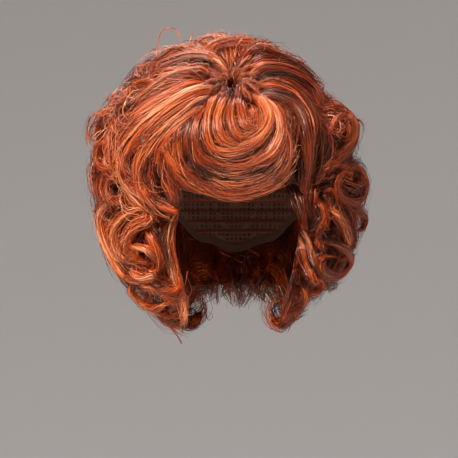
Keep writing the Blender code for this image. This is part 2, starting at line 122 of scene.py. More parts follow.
def hairReach(directions):
    # distance from the centre to the silhouette
    d = np.atleast_2d(directions)
    elevation = np.degrees(np.arcsin(np.clip(d[:, 2], -1, 1)))
    level = np.maximum(np.hypot(d[:, 0], d[:, 1]), 1e-9)
    ahead, aside = -d[:, 1] / level, d[:, 0] / level
    levels = np.concatenate(([-90.0], silhouette[:, 0], [90.0]))

    def column(index, reach):
        shares = np.concatenate(([mass["down"]], silhouette[:, index] * reach, [mass["up"]]))
        return np.interp(elevation, levels, shares)

    side = np.where(aside > 0, column(2, mass["left"]), column(4, mass["right"]))
    end = np.where(ahead > 0, column(1, mass["front"]), column(3, mass["back"]))
    return side * aside ** 2 + end * ahead ** 2


# Locks. The stem is an arc over the mass that turns by bend degrees, and a curl follows it.
# Stand tips the curl from flat (0) to a barrel that rolls under, or out where curl is below 0.
lockStyle = {
    "width": 0.027,
    "thickness": 0.015,
    "curlRadius": 0.0165,
    "rootShare": 0.80,        # how deep in the mass a lock starts
    "step": 0.003,
}
# from turn, from fall, to turn, to fall, bend, curl, curl size, stand, width, tone. The tone is partly the fibres'
# own colour and partly painted shade, lower on the wearer's left and on the fringe's low locks
fringeLocks = (
    (-30, 8, 24, 17, 250, 0, 1.0, 0, 0.55, 0.54),
    (-44, 10, 33, 23, 258, 0, 1.0, 0, 0.58, 0.56),
    (-53, 14, 39, 28, 248, 0, 1.0, 0, 0.60, 0.53),
    (-56, 19, 44, 32, 240, 0, 1.0, 0, 0.62, 0.51),
    (-57, 23, 45, 36, 228, 0, 1.0, 0, 0.64, 0.49),
    (-55, 28, 43, 40, 200, 0, 1.0, 0, 0.62, 0.40),
    (-50, 33, 42, 44, 165, 0, 1.0, 0, 0.60, 0.38),
    (-47, 38, 38, 47, 130, 0, 1.0, 0, 0.50, 0.42),
)
fringeFalls = (
    (-46, 34, -33, 56, 71, 0, 1.0, 0, 0.62, 0.48),
    (20, 5, 8, 36, -60, 0, 1.0, 0, 0.50, 0.54),
    (52, 7, 30, 34, -108, 0, 1.0, 0, 0.62, 0.56),
    (66, 8, 34, 40, -90, 0, 1.0, 0, 0.62, 0.52),
    (82, 9, 40, 44, -67, 0, 1.0, 0, 0.66, 0.49),
)
rightSweeps = (
    (-124, 9, -100, 44, 12, 0, 1.0, 0, 0.80, 0.49),
    (-108, 8, -88, 46, 9, 0, 1.0, 0, 0.80, 0.52),
    (-94, 6, -72, 46, 18, 0, 1.0, 0, 0.80, 0.55),
    (-78, 7, -58, 42, -12, 0, 1.0, 0, 0.75, 0.54),
)
rightLocks = (
    (-124, 12, -102, 46, 20, 240, 0.9, 60, 0.90, 0.53),
    (-52, 36, -36, 69, 161, 0, 1.0, 0, 0.80, 0.54),
    (-60, 34, -42, 62, 140, 0, 1.0, 0, 0.60, 0.48),
    (-76, 58, -33, 69, 67, 0, 1.0, 0, 0.75, 0.53),
    (-104, 42, -61, 59, 102, 0, 1.0, 0, 0.95, 0.51),
    (-113, 34, -97, 52, 69, 300, 0.9, 70, 0.85, 0.53),
    (-80, 60, -70, 82, 184, 0, 1.0, 0, 1.00, 0.48),
    (-57, 70, -37, 101, 213, 0, 1.0, 0, 1.05, 0.51),
    (-52, 78, -40, 96, 190, 0, 1.0, 0, 0.80, 0.42),
    (-55, 89, -40, 98, -151, -200, 0.7, 20, 0.80, 0.48),
    (-62, 102, -28, 108, 54, 120, 0.8, 30, 0.90, 0.49),
    (-31, 99, -32, 126, -53, -160, 0.8, 40, 0.80, 0.46),
    (-88, 70, -84, 90, 30, 380, 1.0, 80, 0.95, 0.45),
    (-72, 96, -60, 116, 40, 330, 0.9, 60, 0.95, 0.45),
)
leftSweeps = (
    (47, 4, 66, 40, -121, 0, 1.0, 0, 0.80, 0.41),
    (90, 6, 78, 42, -80, 0, 1.0, 0, 0.75, 0.38),
    (142, 5, 90, 42, -107, 0, 1.0, 0, 0.80, 0.35),
)
leftLocks = (
    (79, 33, 45, 56, -35, 0, 1.0, 0, 0.90, 0.38),
    (72, 30, 40, 60, -20, 0, 1.0, 0, 0.50, 0.29),
    (177, 13, 109, 42, -99, 0, 1.0, 0, 0.95, 0.38),
    (80, 24, 86, 46, -20, 420, 1.1, 80, 0.85, 0.35),
    (95, 50, 46, 58, -70, 0, 1.0, 0, 0.85, 0.35),
    (98, 52, 82, 62, -20, 420, 1.1, 80, 0.80, 0.30),
    (88, 66, 80, 84, -30, -150, 0.8, 80, 0.75, 0.29),
    (56, 68, 64, 88, -40, -400, 1.1, 75, 0.85, 0.34),
    (46, 58, 37, 80, 39, 0, 1.0, 0, 0.85, 0.32),
    (60, 60, 60, 78, 40, 200, 0.8, 40, 0.85, 0.29),
    (30, 88, 33, 102, 30, -330, 0.65, 60, 0.65, 0.29),
    (27, 96, 21, 119, 1, 60, 0.8, 30, 0.70, 0.29),
    (46, 98, 38, 116, 30, 300, 0.9, 60, 0.90, 0.29),
)
crownLocks = (
    (-162, 14, -129, 39, 77, 0, 1.0, 0, 0.85, 0.51),
    (-176, 22, -148, 33, 144, 0, 1.0, 0, 0.80, 0.48),
    (-147, 10, -108, 37, -12, 0, 1.0, 0, 0.90, 0.52),
    (180, 25, 135, 31, -108, 0, 1.0, 0, 0.85, 0.47),
    (-156, 11, -166, 33, 26, 0, 1.0, 0, 0.80, 0.50),
    (-176, 12, 176, 34, 12, 0, 1.0, 0, 0.80, 0.47),
    (160, 11, 152, 34, -16, 0, 1.0, 0, 0.80, 0.46),
    (-138, 10, -138, 40, 20, 0, 1.0, 0, 0.80, 0.52),
    (142, 10, 128, 40, -30, 0, 1.0, 0, 0.80, 0.44),
)
# Rows of barrel curls: fall, first turn, last turn, count
curlRows = (
    (36, 135, 225, 4),
    (52, 118, 242, 7),
    (69, 108, 254, 9),
    (86, 98, 264, 11),
    (103, 86, 276, 12),
    (120, 72, 290, 13),
    (137, 60, 300, 11),
    (153, 50, 310, 8),
)
rowStyle = {"stem": 17.0, "bend": 45.0, "curl": 370.0, "stand": 72.0, "tone": 0.46}


# Locks that show from the front, along courses in mm across and up from the cap's inner top
# width, tone, lift, course. The tone is partly the fibres' own colour and partly painted shade, lower over the
# whorl to the wearer's left
tracedLocks = (
    # swept from the whorl to the wearer's right
    (14, 0.57, 1, ((-10, 19), (-34, 16), (-69, -4), (-97, -28), (-110, -44), (-115, -60), (-112, -78))),
    (13, 0.58, 1, ((-15, 10), (-33, 3), (-59, -17), (-82, -39), (-95, -58), (-97, -74), (-90, -88))),
    (12, 0.53, 0, ((-18, 23), (-42, 25), (-71, 10), (-101, -10), (-118, -32), (-124, -50), (-122, -66))),
    (13, 0.50, 0, ((-15, 29), (-38, 38), (-67, 29), (-94, 10), (-113, -8))),
    (12, 0.47, 0, ((-8, 36), (-25, 50), (-52, 50), (-80, 38), (-99, 21))),
    (10, 0.48, 1, ((-21, 0), (-40, -10), (-59, -25), (-74, -44), (-80, -63))),
    (11, 0.50, 0, ((-25, 8), (-48, -4), (-71, -23), (-88, -40), (-103, -50))),
    # the C-shaped lock and the dark curl in it
    (12, 0.52, 1, ((-69, -30), (-88, -44), (-99, -63), (-97, -84), (-82, -103), (-64, -111))),
    (12, 0.56, 2, ((-113, -44), (-116, -65), (-107, -88), (-88, -105), (-65, -112))),
    (9, 0.49, 0, ((-67, -34), (-74, -52), (-74, -74), (-65, -92), (-61, -103))),
    (9, 0.42, -3, ((-80, -44), (-88, -61), (-88, -80), (-80, -97))),
    # fringe from the left
    (10, 0.54, 1, ((-22, 10), (-36, -13), (-41, -34), (-36, -55), (-19, -67), (2, -70))),
    (9, 0.36, 0, ((-30, 0), (-44, -19), (-49, -42), (-44, -61), (-25, -74), (0, -77))),
    (8, 0.46, 0, ((-38, -4), (-55, -23), (-59, -46), (-51, -67), (-32, -81), (-4, -86))),
    (9, 0.51, 1, ((-52, -17), (-67, -34), (-68, -52), (-59, -71), (-41, -85), (-21, -91))),
    (9, 0.45, 0, ((-74, -29), (-71, -46), (-61, -63), (-42, -78), (-25, -85))),
    # fringe from the right
    (10, 0.56, 1, ((9, 18), (27, 0), (34, -19), (23, -38), (4, -47), (-15, -48))),
    (10, 0.52, 1, ((13, 16), (38, -6), (45, -29), (36, -52), (15, -65), (-10, -68))),
    (10, 0.38, 0, ((16, 15), (43, -13), (51, -38), (44, -61), (27, -75), (4, -80))),
    (7, 0.46, 0, ((27, 0), (47, -19), (53, -43), (47, -63), (34, -78), (13, -86), (-15, -88))),
    (6, 0.51, 1, ((34, -10), (51, -34), (53, -55), (46, -71), (33, -81))),
    # fringe, innermost
    (8, 0.60, 1, ((-5, 19), (-15, -4), (-19, -23), (-13, -40), (2, -46))),
    (8, 0.60, 1, ((0, 17), (-5, -6), (-4, -23), (4, -35), (17, -35))),
    (8, 0.58, 1, ((5, 15), (6, -8), (10, -23), (21, -27))),
    (8, 0.59, 1, ((-10, 21), (-25, -4), (-29, -27), (-23, -48), (-6, -57))),
    # over the whorl to the wearer's left
    (13, 0.40, 1, ((8, 19), (32, 23), (57, 14), (72, -4), (79, -25), (78, -60), (70, -88))),
    (12, 0.32, 0, ((6, 27), (29, 38), (59, 34), (81, 17), (92, -4))),
    (12, 0.29, 0, ((4, 36), (27, 48), (55, 44), (78, 29), (90, 10))),
    (12, 0.31, 0, ((-2, 48), (21, 59), (46, 50), (71, 37), (88, 19))),
    (11, 0.29, 0, ((8, 10), (27, 4), (50, -5), (63, -23), (68, -44), (71, -65))),
    (11, 0.34, 1, ((15, 15), (42, 10), (65, -6), (74, -34), (74, -65), (71, -97))),
    (11, 0.29, 0, ((23, 21), (52, 10), (74, -10), (85, -34), (86, -60), (80, -86))),
    (10, 0.21, -2, ((67, -10), (86, -17), (94, -34), (90, -57), (80, -78))),
    # ring curls and locks of the wearer's left
    (9, 0.49, 2, ((86, 4), (101, 0), (115, -8), (121, -22), (118, -38), (107, -50), (96, -62), (84, -74))),
    (6, 0.47, 0, ((97, -44), (97, -23), (106, -12), (116, -18), (115, -33), (105, -38))),
    (6, 0.45, 3, ((99, -67), (112, -61), (125, -66), (132, -81), (127, -96), (115, -101), (103, -93),
     (100, -80), (106, -70), (118, -71))),
    (8, 0.44, 0, ((82, -67), (96, -61), (111, -65), (121, -78))),
    (8, 0.49, 1, ((90, -82), (79, -90), (75, -103), (78, -118))),
    (9, 0.52, 1, ((90, -102), (102, -113), (110, -126), (114, -140), (109, -151))),
    (8, 0.45, 1, ((103, -92), (118, -103), (128, -109), (134, -117), (130, -127), (122, -130))),
    (7, 0.55, 3, ((84, -145), (97, -142), (110, -147), (117, -158), (112, -169), (101, -175),
     (89, -172), (84, -162), (90, -154), (103, -155))),
    (8, 0.55, 1, ((70, -124), (75, -142), (82, -160), (91, -174), (102, -177))),
    (8, 0.52, 0, ((67, -136), (70, -155), (76, -172), (84, -185))),
    (3.5, 0.47, 2, ((80, -172), (88, -181), (84, -190), (75, -192), (68, -185))),
    (8, 0.44, 0, ((62, -162), (65, -181), (70, -193), (67, -205), (57, -212), (47, -218))),
    (6, 0.39, 0, ((60, -168), (57, -185), (51, -201), (46, -211), (44, -220))),
    (9, 0.44, 0, ((114, -86), (122, -102), (120, -120), (122, -136), (119, -149), (109, -162))),
    (8, 0.44, 0, ((76, -92), (86, -101), (90, -116), (84, -130), (74, -136))),
    (8, 0.42, 0, ((94, -120), (86, -130), (84, -143), (90, -153))),
    # wearer's right, side and low
    (9, 0.74, 2, ((-113, -93), (-128, -98), (-139, -111), (-139, -130), (-130, -153), (-116, -174),
     (-94, -180))),
    (10, 0.69, 0, ((-90, -103), (-109, -109), (-124, -124), (-125, -143), (-113, -160), (-94, -166))),
    (10, 0.66, 0, ((-71, -111), (-88, -116), (-105, -126), (-111, -141), (-101, -153))),
    (8, 0.75, 2, ((-113, -153), (-105, -146), (-90, -148), (-80, -160), (-82, -171), (-94, -176),
     (-106, -170), (-108, -160))),
    (8, 0.71, 1, ((-132, -162), (-118, -173), (-102, -178), (-84, -174), (-69, -183), (-63, -194),
     (-68, -207))),
    (8, 0.68, 1, ((-88, -145), (-74, -155), (-65, -172), (-58, -189), (-52, -204), (-52, -218),
     (-58, -226))),
    (8, 0.67, 1, ((-113, -181), (-107, -193), (-94, -205), (-80, -208), (-69, -202))),
    (8, 0.65, 0, ((-101, -183), (-88, -185), (-76, -191), (-71, -202))),
    (8, 0.62, 0, ((-63, -103), (-66, -120), (-67, -139), (-63, -160), (-59, -178), (-51, -202))),
    (9, 0.65, 0, ((-80, -118), (-74, -130), (-76, -145), (-84, -153))),
    # wearer's right, high
    (9, 0.39, 1, ((-121, -6), (-123, -25), (-120, -48), (-110, -67), (-101, -82))),
    (8, 0.45, 0, ((-126, -15), (-130, -34), (-129, -55), (-122, -74))),
    (8, 0.42, 1, ((-94, 4), (-109, 4), (-120, -4), (-118, -19), (-105, -23), (-94, -15))),
    (8, 0.43, 1, ((-74, 17), (-90, 23), (-105, 17), (-111, 2))),
    (8, 0.42, 1, ((-82, 52), (-80, 40), (-90, 25), (-107, 17), (-116, 4))),
    (7, 0.45, 1, ((-48, 61), (-67, 55), (-84, 42), (-94, 27))),
    (8, 0.39, 1, ((-138, -52), (-142, -65), (-141, -82), (-136, -99), (-128, -107))),
    (8, 0.42, 1, ((-122, -63), (-133, -71), (-136, -86), (-128, -97), (-117, -92))),
    (8, 0.42, 0, ((-122, -66), (-130, -76), (-132, -88), (-127, -98), (-117, -104))),
    (8, 0.45, 1, ((-127, -34), (-137, -42), (-139, -57), (-130, -67), (-119, -67))),
    # top
    (9, 0.56, 1, ((-38, 53), (-23, 61), (-4, 67), (13, 67), (19, 63))),
    (10, 0.50, 0, ((-32, 52), (-15, 61), (4, 63), (27, 57))),
    # wisps
    (2.2, 0.49, 2, ((-80, -202), (-75, -214), (-66, -225), (-51, -226))),
    (2.0, 0.55, 2, ((-76, -210), (-69, -223), (-61, -231), (-52, -236))),
    (1.5, 0.55, 2, ((-67, -225), (-59, -235), (-54, -245))),
    (2.0, 0.58, 3, ((-130, -10), (-143, -10), (-149, -17), (-151, -34), (-147, -46))),
    (1.6, 0.58, 2, ((-134, -15), (-146, -21), (-148, -34), (-143, -44))),
    (1.2, 0.49, 3, ((-80, 44), (-80, 59), (-76, 74), (-67, 78), (-59, 74), (-55, 57))),
    (1.0, 0.49, 2, ((-50, 57), (-46, 67), (-44, 76))),
    (1.2, 0.55, 2, ((-42, 59), (-34, 67), (-21, 71))),
    (1.2, 0.40, 2, ((107, -23), (122, -15), (130, -23), (126, -40))),
)


def turnAbout(v, axis, angle):
    c, s = math.cos(angle), math.sin(angle)
    return v * c + np.cross(axis, v) * s + axis * (axis @ v) * (1 - c)


def lockPath(row):
    # centre line, outward normals and sideways directions of a lock
    turn, fall, endTurn, endFall, bend, curl, size, stand, width = row[:9]
    start = whorlDirection(np.float64(turn), np.float64(fall))
    end = whorlDirection(np.float64(endTurn), np.float64(endFall))
    depth = lockStyle["thickness"] * (0.5 + 0.5 * width) / 2
    if curl < 0:
        depth += 1.6 * lockStyle["curlRadius"] * size * math.sin(math.radians(stand))
    middle = unit(start + end)
    ahead = unit((end - start) - ((end - start) @ middle) * middle)
    aside = np.cross(middle, ahead)
    chord = math.acos(max(-1.0, min(1.0, start @ end)))
    bend = math.radians(bend)
    length = chord if abs(bend) < 0.01 else chord * bend / (2 * math.sin(bend / 2))
    steps = max(10, int(length * 0.14 / lockStyle["step"]))
    t = np.arange(steps + 1) / steps
    heading = -bend / 2 + bend * (t + 0.5 / steps)
    across = np.concatenate(([0.0], np.cumsum(np.cos(heading[:-1])))) * length / steps - chord / 2
    up = np.concatenate(([0.0], np.cumsum(np.sin(heading[:-1])))) * length / steps
    away = np.maximum(np.hypot(across, up), 1e-9)
    directions = (np.cos(away)[:, None] * middle
                  + (np.sin(away) / away)[:, None] * (across[:, None] * ahead + up[:, None] * aside))
    rise = lockStyle["rootShare"] + (1 - lockStyle["rootShare"]) * smoothStep(t, 0.0, 0.45)
    points = list(centre + directions * (hairReach(directions) * rise - depth)[:, None])
    normals = list(directions)
    if curl:
        forward = unit(points[-1] - points[-2])
        normal = unit(normals[-1] - (normals[-1] @ forward) * forward)
        side = np.cross(normal, forward)
        axis = math.cos(math.radians(stand)) * normal + math.sin(math.radians(stand)) * side
        turned, place, whole = 0.0, points[-1], abs(math.radians(curl))
        while turned < whole:
            radius = lockStyle["curlRadius"] * size * (1 - 0.42 * turned / whole)
            angle = math.copysign(lockStyle["step"] / radius, curl)
            forward, normal = turnAbout(forward, axis, angle), turnAbout(normal, axis, angle)
            place = place + forward * abs(angle) * radius
            turned += abs(angle)
            points.append(place)
            normals.append(normal)
    points, normals = np.array(points), np.array(normals)
    tangents = unit(np.gradient(points, axis=0))
    normals = unit(normals - np.sum(normals * tangents, axis=1)[:, None] * tangents)
    return points, normals, np.cross(normals, tangents), tangents


frontLevels = np.radians(np.arange(-72, 88.5, 1.25))
frontTurns = np.radians(np.arange(-105, 105.5, 1.25))
gridLevel, gridTurn = (g.ravel() for g in np.meshgrid(frontLevels, frontTurns))
gridDirections = np.stack((np.cos(gridLevel) * np.sin(gridTurn), -np.cos(gridLevel) * np.cos(gridTurn),
                           np.sin(gridLevel)), axis=1)
gridPoints = centre + gridDirections * hairReach(gridDirections)[:, None]


def frontPoint(x, z):
    # the foremost point of the mass at this place in the front view, or one level with its edge
    away = np.hypot(gridPoints[:, 0] - x, gridPoints[:, 2] - z)
    near = np.flatnonzero(away < away.min() + 0.0025)
    k = near[np.argmin(gridPoints[near, 1] + 3 * away[near])]
    cheek = -0.060 - 0.10 * smoothStep(abs(x), 0.075, 0.110)
    back = max(0.0, cheek - gridPoints[k, 1]) * (1 - smoothStep(z, -0.115, -0.090))
    return np.array([x, gridPoints[k, 1] + back, z]), gridDirections[k]


def smoothRows(values, times):
    for _ in range(times):
        padded = np.concatenate((values[:1], values, values[-1:]))
        values = 0.25 * padded[:-2] + 0.5 * padded[1:-1] + 0.25 * padded[2:]
    return values


def tracedPath(width, lift, course):
    # a lock along a course of the front view, laid on the mass, with its root and tip sunk in
    course = np.array(course, float) / 1000
    padded = np.concatenate((2 * course[:1] - course[1:2], course, 2 * course[-1:] - course[-2:-1]))
    flat = []
    for k in range(len(course) - 1):
        a, b, c, d = padded[k:k + 4]
        t = np.linspace(0, 1, 10, endpoint=False)[:, None]
        flat.append(0.5 * (2 * b + (c - a) * t + (2 * a - 5 * b + 4 * c - d) * t ** 2
                           + (3 * b - a - 3 * c + d) * t ** 3))
    flat = np.concatenate(flat + [course[-1:]])
    placed = [frontPoint(x, z) for x, z in flat]
    points = smoothRows(np.array([p for p, _ in placed]), 12)
    points[:, 0], points[:, 2] = flat[:, 0], flat[:, 1]
    normals = unit(smoothRows(np.array([n for _, n in placed]), 12))
    t = np.linspace(0, 1, len(points))
    sink = (0.010 * (1 - smoothStep(t, 0.0, 0.25)) + 0.002 * smoothStep(t, 0.8, 1.0)) * (width > 3)
    points = points + normals * (lift / 1000 + 0.002 - width / 4000 - sink)[:, None]
    tangents = unit(np.gradient(points, axis=0))
    normals = unit(normals - np.sum(normals * tangents, axis=1)[:, None] * tangents)
    return points, normals, np.cross(normals, tangents), tangents


whorlRoots = {
    "pit": (-4, 22),          # mm across and up
    "hole": 3.5,              # mm, its radius
    "count": 40,
    "turns": (-60, 250),      # degrees, the first and last root, from the wearer's left over the top
    "length": 22,             # mm
    "width": 4,
    "tone": 0.48,
}


def rootCourses():
    # short thin locks that rise from the whorl and lean outwards
    x, z = whorlRoots["pit"]
    rows = []
    for number, degrees in enumerate(np.linspace(*whorlRoots["turns"], whorlRoots["count"])):
        vary, other = math.sin(2.3 * number), math.sin(4.1 * number + 1)
        course = []
        for share in (0.0, 0.35, 0.7, 1.0):
            away = whorlRoots["hole"] * (1 + 0.4 * other) + share * whorlRoots["length"] * (1 + 0.45 * vary)
            turn = math.radians(degrees + 7 * other + (12 + 16 * vary) * share * (-1 if degrees < 95 else 1))
            course.append((x + away * math.cos(turn), z + 0.9 * away * math.sin(turn)))
        rows.append((whorlRoots["width"], whorlRoots["tone"] + 0.11 * other, 1 + vary, course))
    return rows


def evenPath(path, count):
    # the same path at places spaced by length and by turning, so that curls get more points
    points, normals, sides, tangents = path
    gaps = np.linalg.norm(np.diff(points, axis=0), axis=1)
    turns = np.arccos(np.clip(np.sum(tangents[1:] * tangents[:-1], axis=1), -1, 1))
    measure = np.concatenate(([0.0], np.cumsum(gaps / 0.015 + turns / 0.50)))
    places = np.linspace(0, measure[-1], count)
    out = []
    for values in (points, normals, sides):
        out.append(np.stack([np.interp(places, measure, values[:, k]) for k in range(3)], axis=1))
    return out[0], unit(out[1]), unit(out[2]), measure[-1]


def between(rows, steps):
    # a family of locks: each row of a table and even steps to the next one
    table = np.array(rows, float)
    made = []
    for a, b in zip(table[:-1], table[1:]):
        made += [tuple(a + (b - a) * k / steps) for k in range(steps)]
    return made + [tuple(table[-1])]


def rowLocks():
    locks = []
    for number, (fall, first, last, count) in enumerate(curlRows):
        pitch = (last - first) / (count - 1)
        for k in range(count):
            turn = first + pitch * (k + 0.25 * (-1) ** number)
            way = (-1) ** (k + number)
            vary = math.sin(2.4 * k + 1.7 * number)
            other = math.sin(5.3 * k + 2.9 * number + 1)
            turn, level = turn + 2.5 * other, fall + 2.5 * vary
            locks.append((turn - way * 3, level - rowStyle["stem"], turn + way * 3 + 3 * other, level,
                          way * rowStyle["bend"] * (1 + 0.7 * vary), rowStyle["curl"] + 90 * other,
                          1.0 + 0.18 * vary, rowStyle["stand"] + 14 * other, 0.95 + 0.16 * vary,
                          rowStyle["tone"] + 0.05 * vary))
    return locks


# Small loose curls: count, lowest and highest turn, lowest and highest fall, tone. The tone is partly the fibres'
# own colour and partly painted shade, lower on the wearer's left
smallCurls = (
    (40, -150, -62, 36, 74, 0.50),
    (18, -118, -50, 70, 122, 0.52),
    (24, 60, 140, 34, 74, 0.40),
    (30, 48, 112, 66, 122, 0.34),
    (120, 108, 252, 30, 142, 0.50),
)


def looseCurls(rng):
    made = []
    for count, fromTurn, toTurn, fromFall, toFall, tone in smallCurls:
        for _ in range(count):
            turn, fall = rng.uniform(fromTurn, toTurn), rng.uniform(fromFall, toFall)
            way = rng.choice((-1.0, 1.0))
            made.append((turn, fall, turn + way * rng.uniform(2, 12), fall + rng.uniform(5, 13),
                         way * rng.uniform(60, 210), way * rng.uniform(0, 300), rng.uniform(0.35, 0.62),
                         rng.uniform(0, 70), rng.uniform(0.24, 0.42), tone + rng.normal(0, 0.09)))
    return made


# Locks that fall inside the hem, from the cap's rim past the neck
inner = {
    "turns": (124, 240, 6),   # first, last and step, round from the face
    "low": 0.205,             # below the cap's top
    "width": 0.62,
    "fibres": 64,
    # painted shade: a low tone, for the inside of the hem that lies in shade
    "tone": 0.24,
    "flick": 0.022,           # how far the ends turn out
}


def innerLocks():
    made = []
    for number, degrees in enumerate(np.arange(*inner["turns"])):
        angle = math.radians(degrees)
        vary = math.sin(2.6 * number)
        top = rimDrop(angle) - 0.006
        drops = np.linspace(top, inner["low"] + 0.010 * vary, 26)
        t = np.linspace(0, 1, 26)
        out = 0.007 + 0.003 * vary + inner["flick"] * smoothStep(t, 0.55, 1.0)
        swing = 0.10 * np.sin(5.0 * t + 1.9 * number)
        points = np.array([headPoint(angle + s, d, g) for s, d, g in zip(swing, drops, out)])
        inward = unit(points * np.array([-1.0, -1.0, 0.0]))
        tangents = unit(np.gradient(points, axis=0))
        inward = unit(inward - np.sum(inward * tangents, axis=1)[:, None] * tangents)
        made.append(((points, inward, np.cross(inward, tangents), tangents), inner["tone"] + 0.06 * vary))
    return made


# Meshes are gathered as arrays and made at the end, one for each section of hair
def newHeap():
    return {"points": [], "quads": [], "looks": [], "lies": [], "count": 0}


# The head and face that the hair goes round
headShape = {"neckDrop": 0.185, "neckWidth": 0.112, "neckDepth": 0.124, "gap": 0.0024, "far": 0.30}
headBelow = ((0.62, 1.00, 1.00, 0.985), (0.74, 0.95, 1.00, 0.93), (0.86, 0.87, 1.00, 0.84))
faceShape = {"width": 0.130, "length": 0.150, "top": 0.095}
# down from the fringe's edge, right edge, left edge, as shares
faceSides = ((0.06, -0.88, 1.04), (0.22, -0.99, 1.02), (0.36, -0.98, 0.98), (0.52, -0.91, 0.92),
             (0.70, -0.79, 0.78), (1.35, -0.79, 0.70))
# across from the wearer's right to left, down
fringeEdge = ((-0.85, -0.06), (-0.50, -0.015), (-0.10, 0.005), (0.30, -0.015), (0.62, -0.05), (0.78, -0.12),
              (0.84, -0.24), (0.98, -0.10))



def clearFace(points):
    # fibres in front keep to the edges of the face: aside of its sides and above the fringe's edge.
    # The second result is the share of its width that each keeps.
    x, y, z = points[..., 0], points[..., 1], points[..., 2]
    half, length, top = faceShape["width"] / 2, faceShape["length"], faceShape["top"]
    sides, edge = np.array(faceSides), np.array(fringeEdge)
    down = (-z - top) / length
    limit = np.where(x < 0, -np.interp(down, sides[:, 0], sides[:, 1]), np.interp(down, sides[:, 0], sides[:, 2]))
    inside = np.clip(limit * half + 0.0015 * np.sin(70 * z + 900 * y) - np.abs(x), 0, None)
    low = smoothStep(-z, top + 0.006, top + 0.020)
    ahead = smoothStep(-y, -0.005, 0.015)
    hem = -top - np.interp(x / half, edge[:, 0], edge[:, 1]) * length
    under = np.clip(hem - z, 0, None) * (1 - low) * smoothStep(-y, 0.05, 0.07) * (np.abs(x) < 0.80 * half)
    moved = np.stack((x + np.sign(x) * inside * 0.84 * low * ahead, y, z + 0.75 * under), axis=-1)
    return moved, 1 - smoothStep(inside, 0.004, 0.009) * low * ahead


def clearHead(points):
    # fibres keep out of the head, and one that runs deep in it keeps no width
    x, y, z = points[..., 0], points[..., 1], points[..., 2]
    levels = np.array([cap["rise"]] + [row[0] * headShape["neckDrop"] for row in headBelow]
                      + [headShape["neckDrop"]])
    neck = (headShape["neckWidth"] / cap["width"], headShape["neckDepth"] / cap["length"])
    wide = np.interp(-z, levels, [1.0] + [row[1] for row in headBelow] + [neck[0]])
    back = np.interp(-z, levels, [1.0] + [row[3] for row in headBelow] + [neck[1]])
    wide = wide * (cap["width"] / 2 + headShape["gap"])
    long = np.where(y < 0, 1.0, back) * (cap["length"] / 2 + headShape["gap"])
    above = np.clip((z + cap["rise"]) / (cap["rise"] + headShape["gap"]), 0, None)
    level = np.hypot(x / wide, y / long)
    depth = (level ** cap["squareness"] + above ** cap["squareness"]) ** (1 / cap["squareness"])
    push = np.clip(1 / np.maximum(depth, 1e-6), 1.0, 1.25)
    low = np.where(above > 0, (z + cap["rise"]) * push - cap["rise"], z)
    return np.stack((x * push, y * push, low), axis=-1), smoothStep(depth, 0.80, 0.90)


def keepNear(points):
    # a fibre that leaves the outline is drawn back towards it
    away = points - centre
    far = np.linalg.norm(away, axis=-1, keepdims=True)
    limit = hairReach((away / far).reshape(-1, 3)).reshape(far.shape) + strandStyle["beyond"]
    over = np.clip(far - limit, 0, None)
    return centre + away / far * (far - over * (1 - strandStyle["overShare"]))


# Hollows and raised places of the front: across, up, half width, half height, sink in mm, tone. The sink is real;
# the tone is painted shade in the hollows and low places and painted highlight on the raised places
reliefAndPaintedLight = np.array((
    (-5, 17, 9, 10, 3, -0.20),        # the whorl and a small gap beside it
    (9, 4, 4, 7, 4, -0.25),
    (-43, 36, 12, 6, 2, -0.10),
    (46, 14, 10, 9, 2, -0.15),
    (64, -39, 4.5, 20, 8, -0.20),     # gaps between fringe and side hair
    (86, -55, 6, 24, 9, -0.22),
    (4, -70, 48, 14, 1, -0.20),       # the fringe's low part
    (72, -5, 14, 25, 0, -0.07),
    (-118, 10, 14, 22, 0, -0.05),
    (-33, -32, 14, 16, 1, -0.10),
    (-4, -24, 10, 8, 1, -0.08),
    (23, -71, 12, 5, 3, -0.16),       # under the fringe's turned edge
    (-16, -77, 12, 5, 3, -0.16),
    (-36, -66, 10, 12, 1, -0.08),
    (52, -30, 10, 30, 0, -0.06),
    (-79, -83, 10, 17, 7, -0.26),     # inside the C-shaped lock
    (-52, -58, 5, 8, 5, -0.22),
    (-78, -118, 9, 3, 5, -0.25),
    (-104, -165, 16, 5, 4, -0.20),    # between curls, wearer's right
    (-84, -202, 5, 5, 4, -0.20),
    (-125, -30, 3.5, 18, 6, -0.25),
    (-111, -18, 6, 7, 4, -0.15),
    (86, -86, 9, 11, 6, -0.12),       # between curls, wearer's left
    (98, -135, 13, 5, 7, -0.18),
    (83, -156, 6, 6, 6, -0.18),
    (65, -178, 7, 6, 5, -0.12),
    (30, 0, 8, 14, -2, 0.12),         # raised, with painted highlight
    (19, 42, 8, 8, -1, 0.14),
    (-15, 46, 8, 5, -1, 0.14),
    (-57, 10, 14, 10, -1, 0.06),
    (-74, -16, 12, 10, -1, 0.06),
    (109, -21, 4, 6, 0, 0.25),
    (120, -80, 7, 8, 0, 0.14),
))


def reliefAndPaintedLightAt(points):
    # how far each point of the front sinks, and the painted shade and painted highlight added to its tone
    sink, tone = np.zeros(points.shape[:-1]), np.zeros(points.shape[:-1])
    for across, up, halfWidth, halfHeight, depth, paintedLight in reliefAndPaintedLight:
        away = (((points[..., 0] * 1000 - across) / halfWidth) ** 2
                + ((points[..., 2] * 1000 - up) / halfHeight) ** 2)
        share = np.exp(-0.8 * away) * smoothStep(-points[..., 1], 0.0, 0.03)
        sink, tone = sink + depth / 1000 * share, tone + paintedLight * share
    return sink, tone


